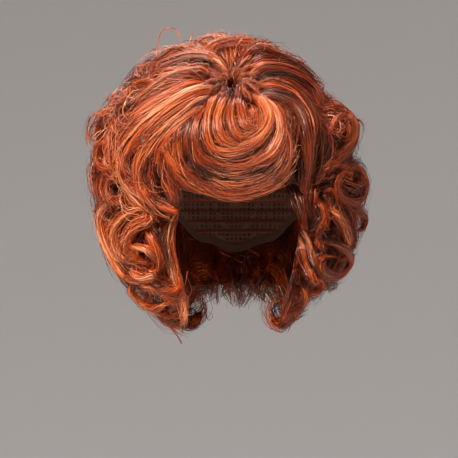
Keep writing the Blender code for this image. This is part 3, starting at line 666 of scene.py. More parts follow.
strandStyle = {
    "width": 0.00088,
    "clumps": 11,             # finer locks within a lock
    "beyond": 0.007,          # how far fibres may leave the outline, and the share kept of any more
    "overShare": 0.32,
    "gather": (0.36, 0.24),   # how loosely fibres keep to them, in smooth and in curly locks
    "clumpTone": (0.105, 0.15),
    "frizz": 0.0009,
    "loose": 0.22,            # share of fibres that lie beside their lock
    "stray": 0.07,            # share of fibres that stand off
    "strayOut": 0.0065,
    "toneSpread": 0.062,
    "paintedDepthShade": 0.26,        # painted shade: how much darker the fibres at the sides and underside of a lock are
    "roll": (0.30, 0.55),     # how far a fibre's flat may roll, radians, in smooth and in curly locks
    "fan": 0.9,               # how far the fibres of a lock may part at its tip
}


def strandShape(u):
    return (0.45 + 0.55 * smoothStep(u, 0, 0.3)) * (1 - 0.55 * smoothStep(u, 0.62, 1.0))


def addRibbons(heap, middle, across, halfWidth, looks):
    # looks holds tone, place along and a seed for each point, and the fourth value runs across
    count, steps = middle.shape[:2]
    points = np.stack((middle - across * halfWidth[..., None], middle + across * halfWidth[..., None]), axis=2)
    first = (np.arange(count)[:, None] * steps + np.arange(steps - 1)[None]) * 2
    quads = np.stack((first, first + 1, first + 3, first + 2), axis=-1)
    both = np.repeat(looks[:, :, None], 2, axis=2)
    edge = np.broadcast_to(np.array([0.0, 1.0])[None, None, :, None], both.shape[:3] + (1,))
    heap["points"].append(points.reshape(-1, 3))
    heap["quads"].append(quads.reshape(-1, 4) + heap["count"])
    heap["looks"].append(np.concatenate((both, edge), axis=-1).reshape(-1, 4))
    heap["lies"].append(np.repeat(across[:, :, None], 2, axis=2).reshape(-1, 3))
    heap["count"] += points.size // 3


def addStrands(heap, path, width, tone, count, rng, frizz=1.0, loose=None, fan=None):
    # fibres of one lock, width as a share: in clumps round its outer side, fraying to the tip
    measure = evenPath(path, 4)[3]
    steps = int(np.clip(round(0.92 * measure), 6, 28))
    fine = 6 * steps
    points, normals, sides, _ = evenPath(path, fine)
    clumps = max(2, int(round(strandStyle["clumps"] * min(1.3, width + 0.25))))
    around = rng.uniform(-0.35, math.pi + 0.35, clumps)
    out = rng.uniform(0.55, 1.06, clumps)
    which = rng.integers(0, clumps, count)
    curly = float(smoothStep(frizz, 0.9, 1.5))
    gather, clumpTone, rollBy = (low + (high - low) * curly for low, high in (
        strandStyle["gather"], strandStyle["clumpTone"], strandStyle["roll"]))
    a = np.cos(around[which]) * out[which] + rng.normal(0, gather, count)
    b = np.sin(around[which]) * out[which] + rng.normal(0, gather, count)
    beside = rng.random(count) < (strandStyle["loose"] if loose is None else loose)
    a = np.where(beside, rng.uniform(-2.1, 2.1, count), a)
    b = np.where(beside, rng.uniform(-1.1, 0.5, count), b)
    starts = np.abs(rng.normal(0, 0.045, count))
    ends = 1 - np.abs(rng.normal(0, 0.08, clumps))[which] - np.abs(rng.normal(0, 0.06, count))
    u = starts[:, None] + (ends - starts)[:, None] * np.linspace(0, 1, steps)[None]
    place = u * (fine - 1)
    low = np.clip(place.astype(int), 0, fine - 2)
    part = (place - low)[..., None]

    def at(values):
        return values[low] * (1 - part) + values[low + 1] * part

    twist = (rng.normal(0, 0.35, clumps)[which] + rng.normal(0, 0.15, count))[:, None] * u * 2
    swell = strandShape(u)
    apart = 1 + rng.uniform(-0.2, fan or strandStyle["fan"], count)[:, None] * smoothStep(u, 0.35, 1.0)
    turnedA = (a[:, None] * np.cos(twist) - b[:, None] * np.sin(twist)) * apart
    turnedB = (a[:, None] * np.sin(twist) + b[:, None] * np.cos(twist)) * apart
    halfWidth = lockStyle["width"] * width / 2
    halfThick = lockStyle["thickness"] * (0.5 + 0.5 * width) / 2 if width > 0.2 else halfWidth
    wander = strandStyle["frizz"] * frizz * rng.lognormal(0, 0.45, count) * min(1.0, 0.3 + 1.4 * width)
    stray = rng.random(count) < strandStyle["stray"] * frizz
    wander = np.where(stray, wander * 3.2, wander)
    lift = np.where(stray, rng.uniform(0, strandStyle["strayOut"], count), 0.0)
    waves = []
    for _ in range(2):
        rate, phase = rng.uniform(0.8, 4.2, count), rng.uniform(0, 2 * math.pi, count)
        waves.append(np.sin(2 * math.pi * rate[:, None] * u + phase[:, None]) * wander[:, None] * (0.35 + 0.9 * u))
    normal, side = unit(at(normals)), unit(at(sides))
    middle = (at(points) + side * (turnedA * halfWidth * swell + waves[0])[..., None]
              + normal * (turnedB * halfThick * swell ** 0.5 + waves[1] + lift[:, None] * u)[..., None])
    sink, paintedLight = reliefAndPaintedLightAt(middle)
    middle, kept = clearFace(middle - normal * sink[..., None])
    middle, out = clearHead(keepNear(middle) if width > 0.1 else middle)
    kept = kept * out
    along = unit(np.gradient(middle, axis=1))
    outward = unit(side * turnedA[..., None] * 0.8 + normal * (0.55 + np.abs(turnedB))[..., None])
    outward = unit(outward - np.sum(outward * along, axis=-1, keepdims=True) * along)
    roll = rng.uniform(-1, 1, count)[:, None] * rollBy + 0.25 * np.sin(3 * u + place[:, :1])
    flat = np.cross(outward, along)
    across = flat * np.cos(roll)[..., None] + outward * np.sin(roll)[..., None]
    half = strandStyle["width"] / 2 * rng.uniform(0.5, 1.3, count)[:, None] * min(1.0, 0.45 + width)
    half = half * np.where(stray, 0.35, 1.0)[:, None]
    t = np.linspace(0, 1, steps)[None]
    half = half * (0.25 + 0.75 * smoothStep(t, 0, 0.14)) * (1 - 0.78 * smoothStep(t, 0.72, 1.0))
    half = half * kept
    # painted shade: fibres that lie beside or under their lock, and those at its sides, are darker
    shade = tone + rng.normal(0, clumpTone, clumps)[which] - 0.12 * beside
    shade = shade + rng.normal(0, strandStyle["toneSpread"], count) + rng.normal(0, 0.05)
    shade = shade - strandStyle["paintedDepthShade"] * np.clip(0.75 - np.sin(np.arctan2(b, np.abs(a))), 0, 1)
    # the painted shade and painted highlight of the front go into the tone here
    looks = np.stack((shade[:, None] + paintedLight, u,
                      np.broadcast_to(rng.random(count)[:, None], u.shape)), axis=-1)
    addRibbons(heap, middle, across, half, looks)


flyaway = {
    "width": 0.00045,
    "out": (0.002, 0.010),    # how far it drifts off its lock
    "swing": (0.001, 0.006),  # radius of its loose coil
    "share": 0.11,            # for each fibre of the lock
}


def addFlyaways(heap, path, width, tone, count, rng):
    # single fibres that leave a lock and coil loosely outside it
    steps = 12
    points, normals, sides, _ = evenPath(path, 60)
    start = rng.uniform(0.15, 0.75, count)
    u = np.clip(start[:, None] + rng.uniform(0.15, 0.5, count)[:, None] * np.linspace(0, 1, steps), 0, 1)
    index = u * 59
    low = np.clip(index.astype(int), 0, 58)
    part = (index - low)[..., None]
    middle, normal, side = (v[low] * (1 - part) + v[low + 1] * part for v in (points, normals, sides))
    t = np.linspace(0, 1, steps)[None]
    out = rng.uniform(*flyaway["out"], count)[:, None] * t ** 1.3 + lockStyle["thickness"] * 0.4 * min(1, width)
    swing = rng.uniform(*flyaway["swing"], count)[:, None] * t
    phase = rng.uniform(0, 2 * math.pi, count)[:, None] + rng.uniform(2, 8, count)[:, None] * t
    aside = rng.uniform(-1, 1, count)[:, None] * lockStyle["width"] * 0.5 * width + swing * np.cos(phase)
    middle = middle + normal * (out + swing * 0.6 * np.sin(phase))[..., None] + side * aside[..., None]
    middle, kept = clearHead(keepNear(middle))
    along = unit(np.gradient(middle, axis=1))
    across = unit(np.cross(along, normal + 0.4 * side))
    half = flyaway["width"] / 2 * (1 - 0.6 * t) * kept
    shade = np.broadcast_to((tone + rng.normal(0.18, 0.12, count))[:, None], u.shape)
    looks = np.stack((shade, u, np.broadcast_to(rng.random(count)[:, None], u.shape)), axis=-1)
    addRibbons(heap, middle, across, half, looks)


# Materials
def linear(hexColour):
    # sRGB hex to linear
    parts = [int(hexColour[k:k + 2], 16) / 255 for k in (1, 3, 5)]
    return tuple(c / 12.92 if c <= 0.04045 else ((c + 0.055) / 1.055) ** 2.4 for c in parts) + (1.0,)


def newMaterial(name):
    material = bpy.data.materials.new(name)
    material.use_nodes = True
    return material, material.node_tree.nodes["Principled BSDF"]


def addNode(material, kind, settings=None, inputs=None, links=None):
    # adds a node, sets its properties and input values, and links inputs from (node, output) pairs
    node = material.node_tree.nodes.new(kind)
    for key, value in (settings or {}).items():
        setattr(node, key, value)
    for key, value in (inputs or {}).items():
        node.inputs[key].default_value = value
    for key, (source, output) in (links or {}).items():
        material.node_tree.links.new(source.outputs[output], node.inputs[key])
    return node


def link(material, source, output, target, key):
    material.node_tree.links.new(source.outputs[output], target.inputs[key])


def setRamp(node, stops):
    ramp = node.color_ramp
    while len(ramp.elements) > 1:
        ramp.elements.remove(ramp.elements[-1])
    ramp.elements[0].position, ramp.elements[0].color = stops[0][0], linear(stops[0][1])
    for position, colour in stops[1:]:
        ramp.elements.new(position).color = linear(colour)


hairLook = {
    "colours": ((0.0, "#1A0603"), (0.25, "#561303"), (0.50, "#A63706"), (0.75, "#D06D33"), (1.0, "#F2B18C")),
    "paintedRootShade": 0.22,        # painted shade: how much darker the roots are, in tone
    "roughness": 0.36,
    "glint": "#FFD2B8",
    "spread": 0.80,           # how far the glint is drawn out across a fibre
    "ior": 1.55,
    "streak": 0.34,           # contrast of the fibres within a ribbon
    "bump": 0.00025,
    "specular": 0.80,
}


def modacrylicFibre():
    # drawn modacrylic fibre, dyed copper: smooth, so each bundle has a narrow satin glint along it
    material, shader = newMaterial("modacrylicFibre")
    look = addNode(material, "ShaderNodeAttribute", {"attribute_name": "fibre"})
    parts = addNode(material, "ShaderNodeSeparateColor", links={"Color": (look, "Color")})
    place = addNode(material, "ShaderNodeCombineXYZ", links={"X": (look, "Alpha"), "Y": (parts, "Green"),
                                                             "Z": (parts, "Blue")})
    spread = addNode(material, "ShaderNodeVectorMath", {"operation": "MULTIPLY"}, {1: (2.6, 7.0, 90.0)},
                     {0: (place, "Vector")})
    streaks = addNode(material, "ShaderNodeTexNoise", None, {"Scale": 1.0, "Detail": 2.0, "Roughness": 0.6},
                      {"Vector": (spread, "Vector")})
    swing = addNode(material, "ShaderNodeMapRange", None,
                    {"From Min": 0.3, "From Max": 0.7, "To Min": -hairLook["streak"] / 2,
                     "To Max": hairLook["streak"] / 2}, {"Value": (streaks, "Fac")})
    # painted shade at the roots, where they go deep into the mass
    paintedRootShadeMask = addNode(material, "ShaderNodeMapRange", {"interpolation_type": "SMOOTHSTEP"},
                       {"From Min": 0.0, "From Max": 0.16, "To Min": -hairLook["paintedRootShade"], "To Max": 0.0},
                       {"Value": (parts, "Green")})
    toned = addNode(material, "ShaderNodeMath", {"operation": "ADD"}, None,
                    {0: (parts, "Red"), 1: (swing, "Result")})
    shaded = addNode(material, "ShaderNodeMath", {"operation": "ADD"}, None,
                     {0: (toned, "Value"), 1: (paintedRootShadeMask, "Result")})
    shade = addNode(material, "ShaderNodeValToRGB", links={"Fac": (shaded, "Value")})
    setRamp(shade, hairLook["colours"])
    link(material, shade, "Color", shader, "Base Color")
    bump = addNode(material, "ShaderNodeBump", None, {"Strength": 1.0, "Distance": hairLook["bump"]},
                   {"Height": (streaks, "Fac")})
    link(material, bump, "Normal", shader, "Normal")
    rough = addNode(material, "ShaderNodeMapRange", None, {"To Min": hairLook["roughness"] - 0.08,
                                                           "To Max": hairLook["roughness"] + 0.12},
                    {"Value": (parts, "Blue")})
    link(material, rough, "Result", shader, "Roughness")
    lie = addNode(material, "ShaderNodeAttribute", {"attribute_name": "lie"})
    link(material, lie, "Vector", shader, "Tangent")
    shader.inputs["Anisotropic"].default_value = hairLook["spread"]
    shader.inputs["Specular Tint"].default_value = linear(hairLook["glint"])
    shader.inputs["IOR"].default_value = hairLook["ior"]
    shader.inputs["Specular IOR Level"].default_value = hairLook["specular"]
    return material


massLook = {
    "streak": 0.62,
    "bump": 0.0009,
    "roughness": 0.46,
    "specular": 0.30,
}


def hairMass():
    # the same fibre packed under the outer ones: bundles that run along each lock, with painted shade that makes
    # them darker when deep
    material, shader = newMaterial("hairMass")
    look = addNode(material, "ShaderNodeAttribute", {"attribute_name": "fibre"})
    parts = addNode(material, "ShaderNodeSeparateColor", links={"Color": (look, "Color")})
    flow = addNode(material, "ShaderNodeAttribute", {"attribute_name": "flow"})
    streaks = addNode(material, "ShaderNodeTexNoise", None, {"Scale": 1.0, "Detail": 3.0, "Roughness": 0.65},
                      {"Vector": (flow, "Vector")})
    swing = addNode(material, "ShaderNodeMapRange", None,
                    {"From Min": 0.3, "From Max": 0.7, "To Min": -massLook["streak"] / 2,
                     "To Max": massLook["streak"] / 2}, {"Value": (streaks, "Fac")})
    toned = addNode(material, "ShaderNodeMath", {"operation": "ADD"}, None,
                    {0: (parts, "Red"), 1: (swing, "Result")})
    shade = addNode(material, "ShaderNodeValToRGB", links={"Fac": (toned, "Value")})
    setRamp(shade, hairLook["colours"])
    link(material, shade, "Color", shader, "Base Color")
    bump = addNode(material, "ShaderNodeBump", None, {"Strength": 1.0, "Distance": massLook["bump"]},
                   {"Height": (streaks, "Fac")})
    link(material, bump, "Normal", shader, "Normal")
    lie = addNode(material, "ShaderNodeAttribute", {"attribute_name": "lie"})
    link(material, lie, "Vector", shader, "Tangent")
    shader.inputs["Anisotropic"].default_value = hairLook["spread"]
    shader.inputs["Roughness"].default_value = massLook["roughness"]
    shader.inputs["Specular IOR Level"].default_value = massLook["specular"]
    shader.inputs["Specular Tint"].default_value = linear(hairLook["glint"])
    return material


def makeMesh(name, points, faces, smooth=True):
    data = bpy.data.meshes.new(name)
    data.from_pydata([tuple(p) for p in points], [], [tuple(int(i) for i in f) for f in faces])
    data.validate()
    bm = bmesh.new()
    bm.from_mesh(data)
    bmesh.ops.recalc_face_normals(bm, faces=bm.faces[:])
    bm.to_mesh(data)
    bm.free()
    if smooth:
        data.shade_smooth()
    obj = bpy.data.objects.new(name, data)
    bpy.context.scene.collection.objects.link(obj)
    return obj


def ringFaces(rings, sides, first=0, ends=True):
    faces = []
    for ring in range(rings - 1):
        for k in range(sides):
            a, b = first + ring * sides + k, first + ring * sides + (k + 1) % sides
            faces.append((a, b, b + sides, a + sides))
    if ends:
        faces.append(tuple(first + k for k in reversed(range(sides))))
        faces.append(tuple(first + (rings - 1) * sides + k for k in range(sides)))
    return faces


def applyModifiers(obj):
    graph = bpy.context.evaluated_depsgraph_get()
    data = bpy.data.meshes.new_from_object(obj.evaluated_get(graph), depsgraph=graph)
    obj.modifiers.clear()
    obj.data = data


def cutAway(obj, cutter):
    modifier = obj.modifiers.new("cut", "BOOLEAN")
    modifier.operation = "DIFFERENCE"
    modifier.object = cutter
    applyModifiers(obj)
    bpy.data.objects.remove(cutter)


def headPoint(angle, drop, grow=0.0):
    # a point on the inside of the cap, or on the head below it
    halfWidth, halfLength = cap["width"] / 2 + grow, cap["length"] / 2 + grow
    if drop < cap["rise"]:
        height = max(0.0, 1 - drop / cap["rise"])
        width = front = back = (1 - height ** cap["squareness"]) ** (1 / cap["squareness"])
        z = height * (cap["rise"] + grow) - cap["rise"]
    else:
        levels = [cap["rise"]] + [row[0] * headShape["neckDrop"] for row in headBelow] + [headShape["neckDrop"]]
        neck = (headShape["neckWidth"] / cap["width"], headShape["neckDepth"] / cap["length"],
                headShape["neckDepth"] / cap["length"])
        width, front, back = (np.interp(drop, levels, [1.0] + [row[k + 1] for row in headBelow] + [neck[k]])
                              for k in range(3))
        z = -drop
    lengthShare = front if math.cos(angle) > 0 else back
    return (halfWidth * width * math.sin(angle), -halfLength * lengthShare * math.cos(angle), z)


def rimDrop(angle):
    around = abs((math.degrees(angle) + 180) % 360 - 180)
    turns = (0, 35, 55, 74, 92, 118, 150, 180)
    drops = (cap["hairline"], cap["hairline"] * 1.08, cap["hairline"] * 1.45, cap["earTab"], cap["ear"],
             0.55 * cap["ear"] + 0.45 * cap["nape"], 0.93 * cap["nape"], cap["nape"])
    for k in range(len(turns) - 1):
        if around <= turns[k + 1]:
            ease = smoothStep(around, turns[k], turns[k + 1])
            return drops[k] + (drops[k + 1] - drops[k]) * ease
    return cap["nape"]


def headForm():
    sides = 64
    angles = [2 * math.pi * k / sides for k in range(sides)]
    drops = [cap["rise"] * (k / 16) ** 1.6 for k in range(1, 17)]
    drops += [0.105, 0.115, 0.137, 0.159, headShape["neckDrop"], headShape["far"]]
    points = [(0.0, 0.0, headShape["gap"])]
    for drop in drops:
        points += [headPoint(angle, drop, headShape["gap"]) for angle in angles]
    faces = [(0, 1 + (k + 1) % sides, 1 + k) for k in range(sides)]
    faces += ringFaces(len(drops), sides, 1, ends=False)
    faces.append(tuple(1 + (len(drops) - 1) * sides + k for k in range(sides)))
    return makeMesh("headForm", points, faces)


def faceForm():
    half, length, top = faceShape["width"] / 2, faceShape["length"], faceShape["top"]
    outline = [(row[2] * half, -top - row[0] * length) for row in reversed(faceSides)]
    outline += [(x * half, -top - z * length) for x, z in reversed(fringeEdge)]
    outline += [(row[1] * half, -top - row[0] * length) for row in faceSides]
    points = [(x, -headShape["far"], z) for x, z in outline] + [(x, 0.0, z) for x, z in outline]
    return makeMesh("faceForm", points, ringFaces(2, len(outline)))


under = {
    "rows": 40,
    "sides": 72,
    "voxel": 0.0024,
    "lockShare": 0.80,        # the body of a lock, dark with painted shade, as a share of its full size
    "faces": 60000,
    "streakWidth": 0.0021,    # bundles of fibres in its surface
    "streakLength": 0.045,
}


def backingPoints():
    rows, sides = under["rows"], under["sides"]
    points = []
    for row in range(1, rows):
        elevation = math.radians(-90 + 180 * row / rows)
        azimuth = 2 * math.pi * np.arange(sides) / sides
        d = np.stack((math.cos(elevation) * np.sin(azimuth), -math.cos(elevation) * np.cos(azimuth),
                      np.full(sides, math.sin(elevation))), axis=1)
        around = np.abs((np.degrees(azimuth) + 180) % 360 - 180)
        share = np.interp(math.degrees(elevation), silhouette[:, 0], silhouette[:, 5])
        above = smoothStep(math.degrees(elevation), -6, 8)
        held = np.maximum(np.maximum(smoothStep(around, 46, 78), above), 0.45)
        ragged = 0.13 + 0.08 * np.sin(7 * azimuth) * np.sin(4 * azimuth + 1)
        hem = 1 - smoothStep(-math.degrees(elevation), 38, 58) * smoothStep(around, 125, 150) * ragged
        points.append(centre + d * (hairReach(d) * mass["backing"] * share * held * hem)[:, None])
    return np.concatenate(points), ringFaces(rows - 1, sides)


def lockTube(path, width, share, sides=8):
    measure = evenPath(path, 4)[3]
    steps = int(np.clip(round(measure * 1.3), 10, 44))
    points, normals, out, _ = evenPath(path, steps)
    u = np.linspace(0, 1, steps)
    swell = strandShape(u)
    angles = 2 * math.pi * np.arange(sides) / sides
    half = lockStyle["width"] * width / 2 * share
    thick = lockStyle["thickness"] * (0.5 + 0.5 * width) / 2 * share
    tube = (points[:, None] + out[:, None] * (half * swell)[:, None, None] * np.cos(angles)[None, :, None]
            + normals[:, None] * (thick * swell ** 0.5)[:, None, None] * np.sin(angles)[None, :, None])
    return tube.reshape(-1, 3), ringFaces(steps, sides)


def makeUnder(paths):
    # one fused mass of all the locks, dark with painted shade, open for the head and face
    points, faces = backingPoints()
    points, faces = [points], list(faces)
    count = len(points[0])
    for path, row in paths:
        tube, tubeFaces = lockTube(path, row[8], under["lockShare"])
        faces += [tuple(count + k for k in face) for face in tubeFaces]
        points.append(tube)
        count += len(tube)
    obj = makeMesh("under", np.concatenate(points), faces)
    fuse = obj.modifiers.new("fuse", "REMESH")
    fuse.mode = "VOXEL"
    fuse.voxel_size = under["voxel"]
    applyModifiers(obj)
    thin = obj.modifiers.new("thin", "DECIMATE")
    thin.ratio = min(1.0, under["faces"] / (2 * len(obj.data.polygons)))
    applyModifiers(obj)
    cutAway(obj, headForm())
    cutAway(obj, faceForm())
    return obj


# Sections of the hair, as in the solids
sections = {
    "fringe": {"slot": "fringe_hair", "piece": "fringeHair"},
    "side_hair_left": {"slot": "side_hair_left", "piece": "sideHairLeft"},
    "side_hair_right": {"slot": "side_hair_right", "piece": "sideHairRight"},
    "crown_hair": {"slot": "crown_hair", "piece": "crownHair"},
    "back_hair": {"slot": "back_hair", "piece": "backHair"},
    "nape_curls": {"slot": "nape_hair", "piece": "napeHair"},
}
partings = {"fringe": (-50.0, 47.0), "back": 118.0, "fringeLow": -0.1045, "crownLow": -0.0315, "napeHigh": -0.1278}


def sectionOf(points):
    # the section that each point belongs to
    v = points - centre
    turn = np.degrees(np.arctan2(v @ toLeft, v @ toFace))
    z = points[:, 2]
    names = np.where(turn > 0, "side_hair_left", "side_hair_right").astype(object)
    back = np.abs(turn) > partings["back"]
    names[back] = "back_hair"
    names[back & (z > partings["crownLow"])] = "crown_hair"
    names[back & (z < partings["napeHigh"])] = "nape_curls"
    low, high = partings["fringe"]
    names[(turn > low) & (turn < high) & (z > partings["fringeLow"])] = "fringe"
    return names


def shareUnder(obj, heaps):
    # gives each section its part of the dark mass
    data = obj.data
    points = np.empty(len(data.vertices) * 3)
    data.vertices.foreach_get("co", points)
    points = points.reshape(-1, 3)
    points = points + unit(centre - points) * np.clip(reliefAndPaintedLightAt(points)[0], 0, None)[:, None]
    data.calc_loop_triangles()
    triangles = np.empty(len(data.loop_triangles) * 3, int)
    data.loop_triangles.foreach_get("vertices", triangles)
    triangles = triangles.reshape(-1, 3)
    names = sectionOf(points[triangles].mean(axis=1))
    for name in sections:
        own = triangles[names == name]
        used, index = np.unique(own, return_inverse=True)
        heaps[name]["under"] = (points[used], index.reshape(-1, 3))
    bpy.data.objects.remove(obj)


def layFlow(points, paths):
    # for each point the place in the nearest lock: across, out and along, and a tone: the lock's own, with painted
    # shade deep in the mass, between locks and at the roots, and the painted shade and highlight of the front
    every = [evenPath(path, 48)[:3] + (row[9], path) for path, row in paths]
    tree = KDTree(48 * len(every))
    for number, (line, _, _, _, _) in enumerate(every):
        for k, place in enumerate(line):
            tree.insert(place, 48 * number + k)
    tree.balance()
    found = np.array([tree.find(p)[1] for p in points])
    lock, step = found // 48, found % 48
    lines, normals, sides = (np.array([e[k] for e in every]) for k in range(3))
    tones = np.array([e[3] for e in every])
    lengths = np.concatenate((np.zeros((len(every), 1)),
                              np.cumsum(np.linalg.norm(np.diff(lines, axis=1), axis=2), axis=1)), axis=1)
    tangents = unit(np.gradient(lines, axis=1))
    offset = points - lines[lock, step]
    across = np.sum(offset * sides[lock, step], axis=1)
    out = np.sum(offset * normals[lock, step], axis=1)
    along = lengths[lock, step] + np.sum(offset * tangents[lock, step], axis=1)
    flow = np.stack((across / under["streakWidth"] + lock * 17.0, along / under["streakLength"],
                     out / under["streakWidth"]), axis=1)
    away = np.linalg.norm(offset, axis=1)
    # painted shade: darker deep under the lock's surface, away from its middle and near its root
    tone = tones[lock] - 0.05 - 0.26 * smoothStep(-out, -0.001, 0.010) - 0.18 * smoothStep(away, 0.009, 0.022)
    tone = tone - 0.25 * (1 - smoothStep(along, 0.0, 0.016)) + reliefAndPaintedLightAt(points)[1]
    return flow, tone, sides[lock, step]


def buildPiece(name, heap, materials):
    points = np.concatenate(heap["points"])
    quads = np.concatenate(heap["quads"])
    looks = np.concatenate(heap["looks"])
    underPoints, underFaces = heap["under"]
    whole = np.concatenate((points, underPoints))
    loops = np.concatenate((quads.ravel(), (underFaces + len(points)).ravel()))
    totals = np.concatenate((np.full(len(quads), 4), np.full(len(underFaces), 3)))
    data = bpy.data.meshes.new(name)
    data.vertices.add(len(whole))
    data.vertices.foreach_set("co", whole.ravel())
    data.loops.add(len(loops))
    data.loops.foreach_set("vertex_index", loops)
    data.polygons.add(len(totals))
    data.polygons.foreach_set("loop_start", np.concatenate(([0], np.cumsum(totals)[:-1])))
    data.polygons.foreach_set("material_index", np.concatenate((np.zeros(len(quads), int),
                                                                np.ones(len(underFaces), int))))
    data.update(calc_edges=True)
    fibre = data.attributes.new("fibre", "FLOAT_COLOR", "POINT")
    colours = np.full((len(whole), 4), 0.5)
    colours[:len(points)] = np.clip(looks, 0, 1)
    lean, lies = np.zeros((len(whole), 3)), np.zeros((len(whole), 3))
    lies[:len(points)] = np.concatenate(heap["lies"])
    lean[len(points):], tone, lies[len(points):] = layFlow(underPoints, paths)
    colours[len(points):, 0] = np.clip(tone, 0.02, 1)
    fibre.data.foreach_set("color", colours.ravel())
    flow = data.attributes.new("flow", "FLOAT_VECTOR", "POINT")
    flow.data.foreach_set("vector", lean.ravel())
    lie = data.attributes.new("lie", "FLOAT_VECTOR", "POINT")
    lie.data.foreach_set("vector", lies.ravel())
    data.shade_smooth()
    for material in materials:
        data.materials.append(material)
    obj = bpy.data.objects.new(name, data)
    bpy.context.scene.collection.objects.link(obj)
    return obj


capLook = {
    "netCell": 0.0046,        # holes of the net
    "weftPitch": 0.0105,
    "weftHeight": 0.0026,
    "weftThick": 0.0009,
    "tape": 0.0085,           # width of the elastic tape round the rim
    "tapeThick": 0.0011,
}


def knittedNet():
    # warp-knitted nylon net: matt, with small holes painted dark brown: the hair seen through them between the
    # rows, in painted shade
    material, shader = newMaterial("knittedNet")
    place = addNode(material, "ShaderNodeTexCoord")
    cells = addNode(material, "ShaderNodeTexVoronoi", {"feature": "DISTANCE_TO_EDGE"},
                    {"Scale": 1 / capLook["netCell"], "Randomness": 0.15}, {"Vector": (place, "Object")})
    shade = addNode(material, "ShaderNodeValToRGB", links={"Fac": (cells, "Distance")})
    # the holes painted dark: painted shade over the hair behind them
    setRamp(shade, ((0.0, "#8C6450"), (0.12, "#7A523D"), (0.34, "#4A2A1C")))
    link(material, shade, "Color", shader, "Base Color")
    bump = addNode(material, "ShaderNodeBump", {"invert": True}, {"Strength": 0.8, "Distance": 0.0006},
                   {"Height": (cells, "Distance")})
    link(material, bump, "Normal", shader, "Normal")
    shader.inputs["Roughness"].default_value = 0.85
    shader.inputs["Sheen Weight"].default_value = 0.15
    return material


def wovenTape(name, colour):
    # machine-woven elastic: matt, with fine ribs across it
    material, shader = newMaterial(name)
    place = addNode(material, "ShaderNodeTexCoord")
    ribs = addNode(material, "ShaderNodeTexNoise", None, {"Scale": 1400.0, "Detail": 1.0},
                   {"Vector": (place, "Object")})
    bump = addNode(material, "ShaderNodeBump", None, {"Strength": 0.6, "Distance": 0.0003},
                   {"Height": (ribs, "Fac")})
    link(material, bump, "Normal", shader, "Normal")
    shader.inputs["Base Color"].default_value = linear(colour)
    shader.inputs["Roughness"].default_value = 0.8
    return material


def bandOnCap(edges, thick):
    # a closed band inside the cap between two lists of (angle, drop), thick towards the head
    points = []
    for (angleA, dropA), (angleB, dropB) in edges:
        points += [headPoint(angleA, dropA, 0.0002), headPoint(angleB, dropB, 0.0002),
                   headPoint(angleB, dropB, -thick), headPoint(angleA, dropA, -thick)]
    return points, ringFaces(len(edges), 4)


def makeCap():
    # the net dome, the tape round its rim and the rows of weft inside it
    sides, rows = cap["sides"], 16
    angles = [2 * math.pi * k / sides for k in range(sides)]
    points, faces, slots = [], [], []

    def take(newPoints, newFaces, slot):
        faces.extend(tuple(len(points) + k for k in face) for face in newFaces)
        slots.extend([slot] * len(newFaces))
        points.extend(newPoints)

    for grow, flip in ((0.0, 1), (cap["wall"] * 0.5, -1)):
        dome = [(0.0, 0.0, grow)]
        for row in range(1, rows + 1):
            dome += [headPoint(a, rimDrop(a) * (row / rows) ** 1.5, grow) for a in angles]
        domeFaces = [(0, 1 + k, 1 + (k + 1) % sides)[::flip] for k in range(sides)]
        domeFaces += [face[::-flip] for face in ringFaces(rows, sides, 1, ends=False)]
        take(dome, domeFaces, 0)
    rim = [((a, rimDrop(a)), (a, rimDrop(a) - capLook["tape"])) for a in angles + angles[:1]]
    take(*bandOnCap(rim, capLook["tapeThick"]), 1)
    drop = 0.012
    while drop < cap["nape"] - 0.014:
        held = [drop + capLook["tape"] < rimDrop(a) for a in angles]
        start = next((k for k in range(sides) if held[k] and not held[k - 1]), 0)
        run = []
        for k in range(sides + 1):
            a = angles[(start + k) % sides]
            if held[(start + k) % sides]:
                run.append(((a, drop), (a, drop + capLook["weftHeight"])))
            elif len(run) > 2:
                take(*bandOnCap(run, capLook["weftThick"]), 2)
                run = []
        if len(run) > 2:
            take(*bandOnCap(run, capLook["weftThick"]), 2)
        drop += capLook["weftPitch"]
    obj = makeMesh("wigCap", points, faces)
    for material in (knittedNet(), wovenTape("elasticTape", "#6B4A3A"), wovenTape("sewnWeft", "#7A3218")):
        obj.data.materials.append(material)
    if len(obj.data.polygons) == len(slots):
        obj.data.polygons.foreach_set("material_index", slots)
    obj.data.set_sharp_from_angle(angle=math.radians(45))
    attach(obj, "root")
    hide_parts("wig_cap")
    print("cap:", len(slots), "faces,", len(obj.data.polygons), "kept")


makeCap()

# Gather the locks of each section
rng = np.random.default_rng(29)
heaps = {name: newHeap() for name in sections}
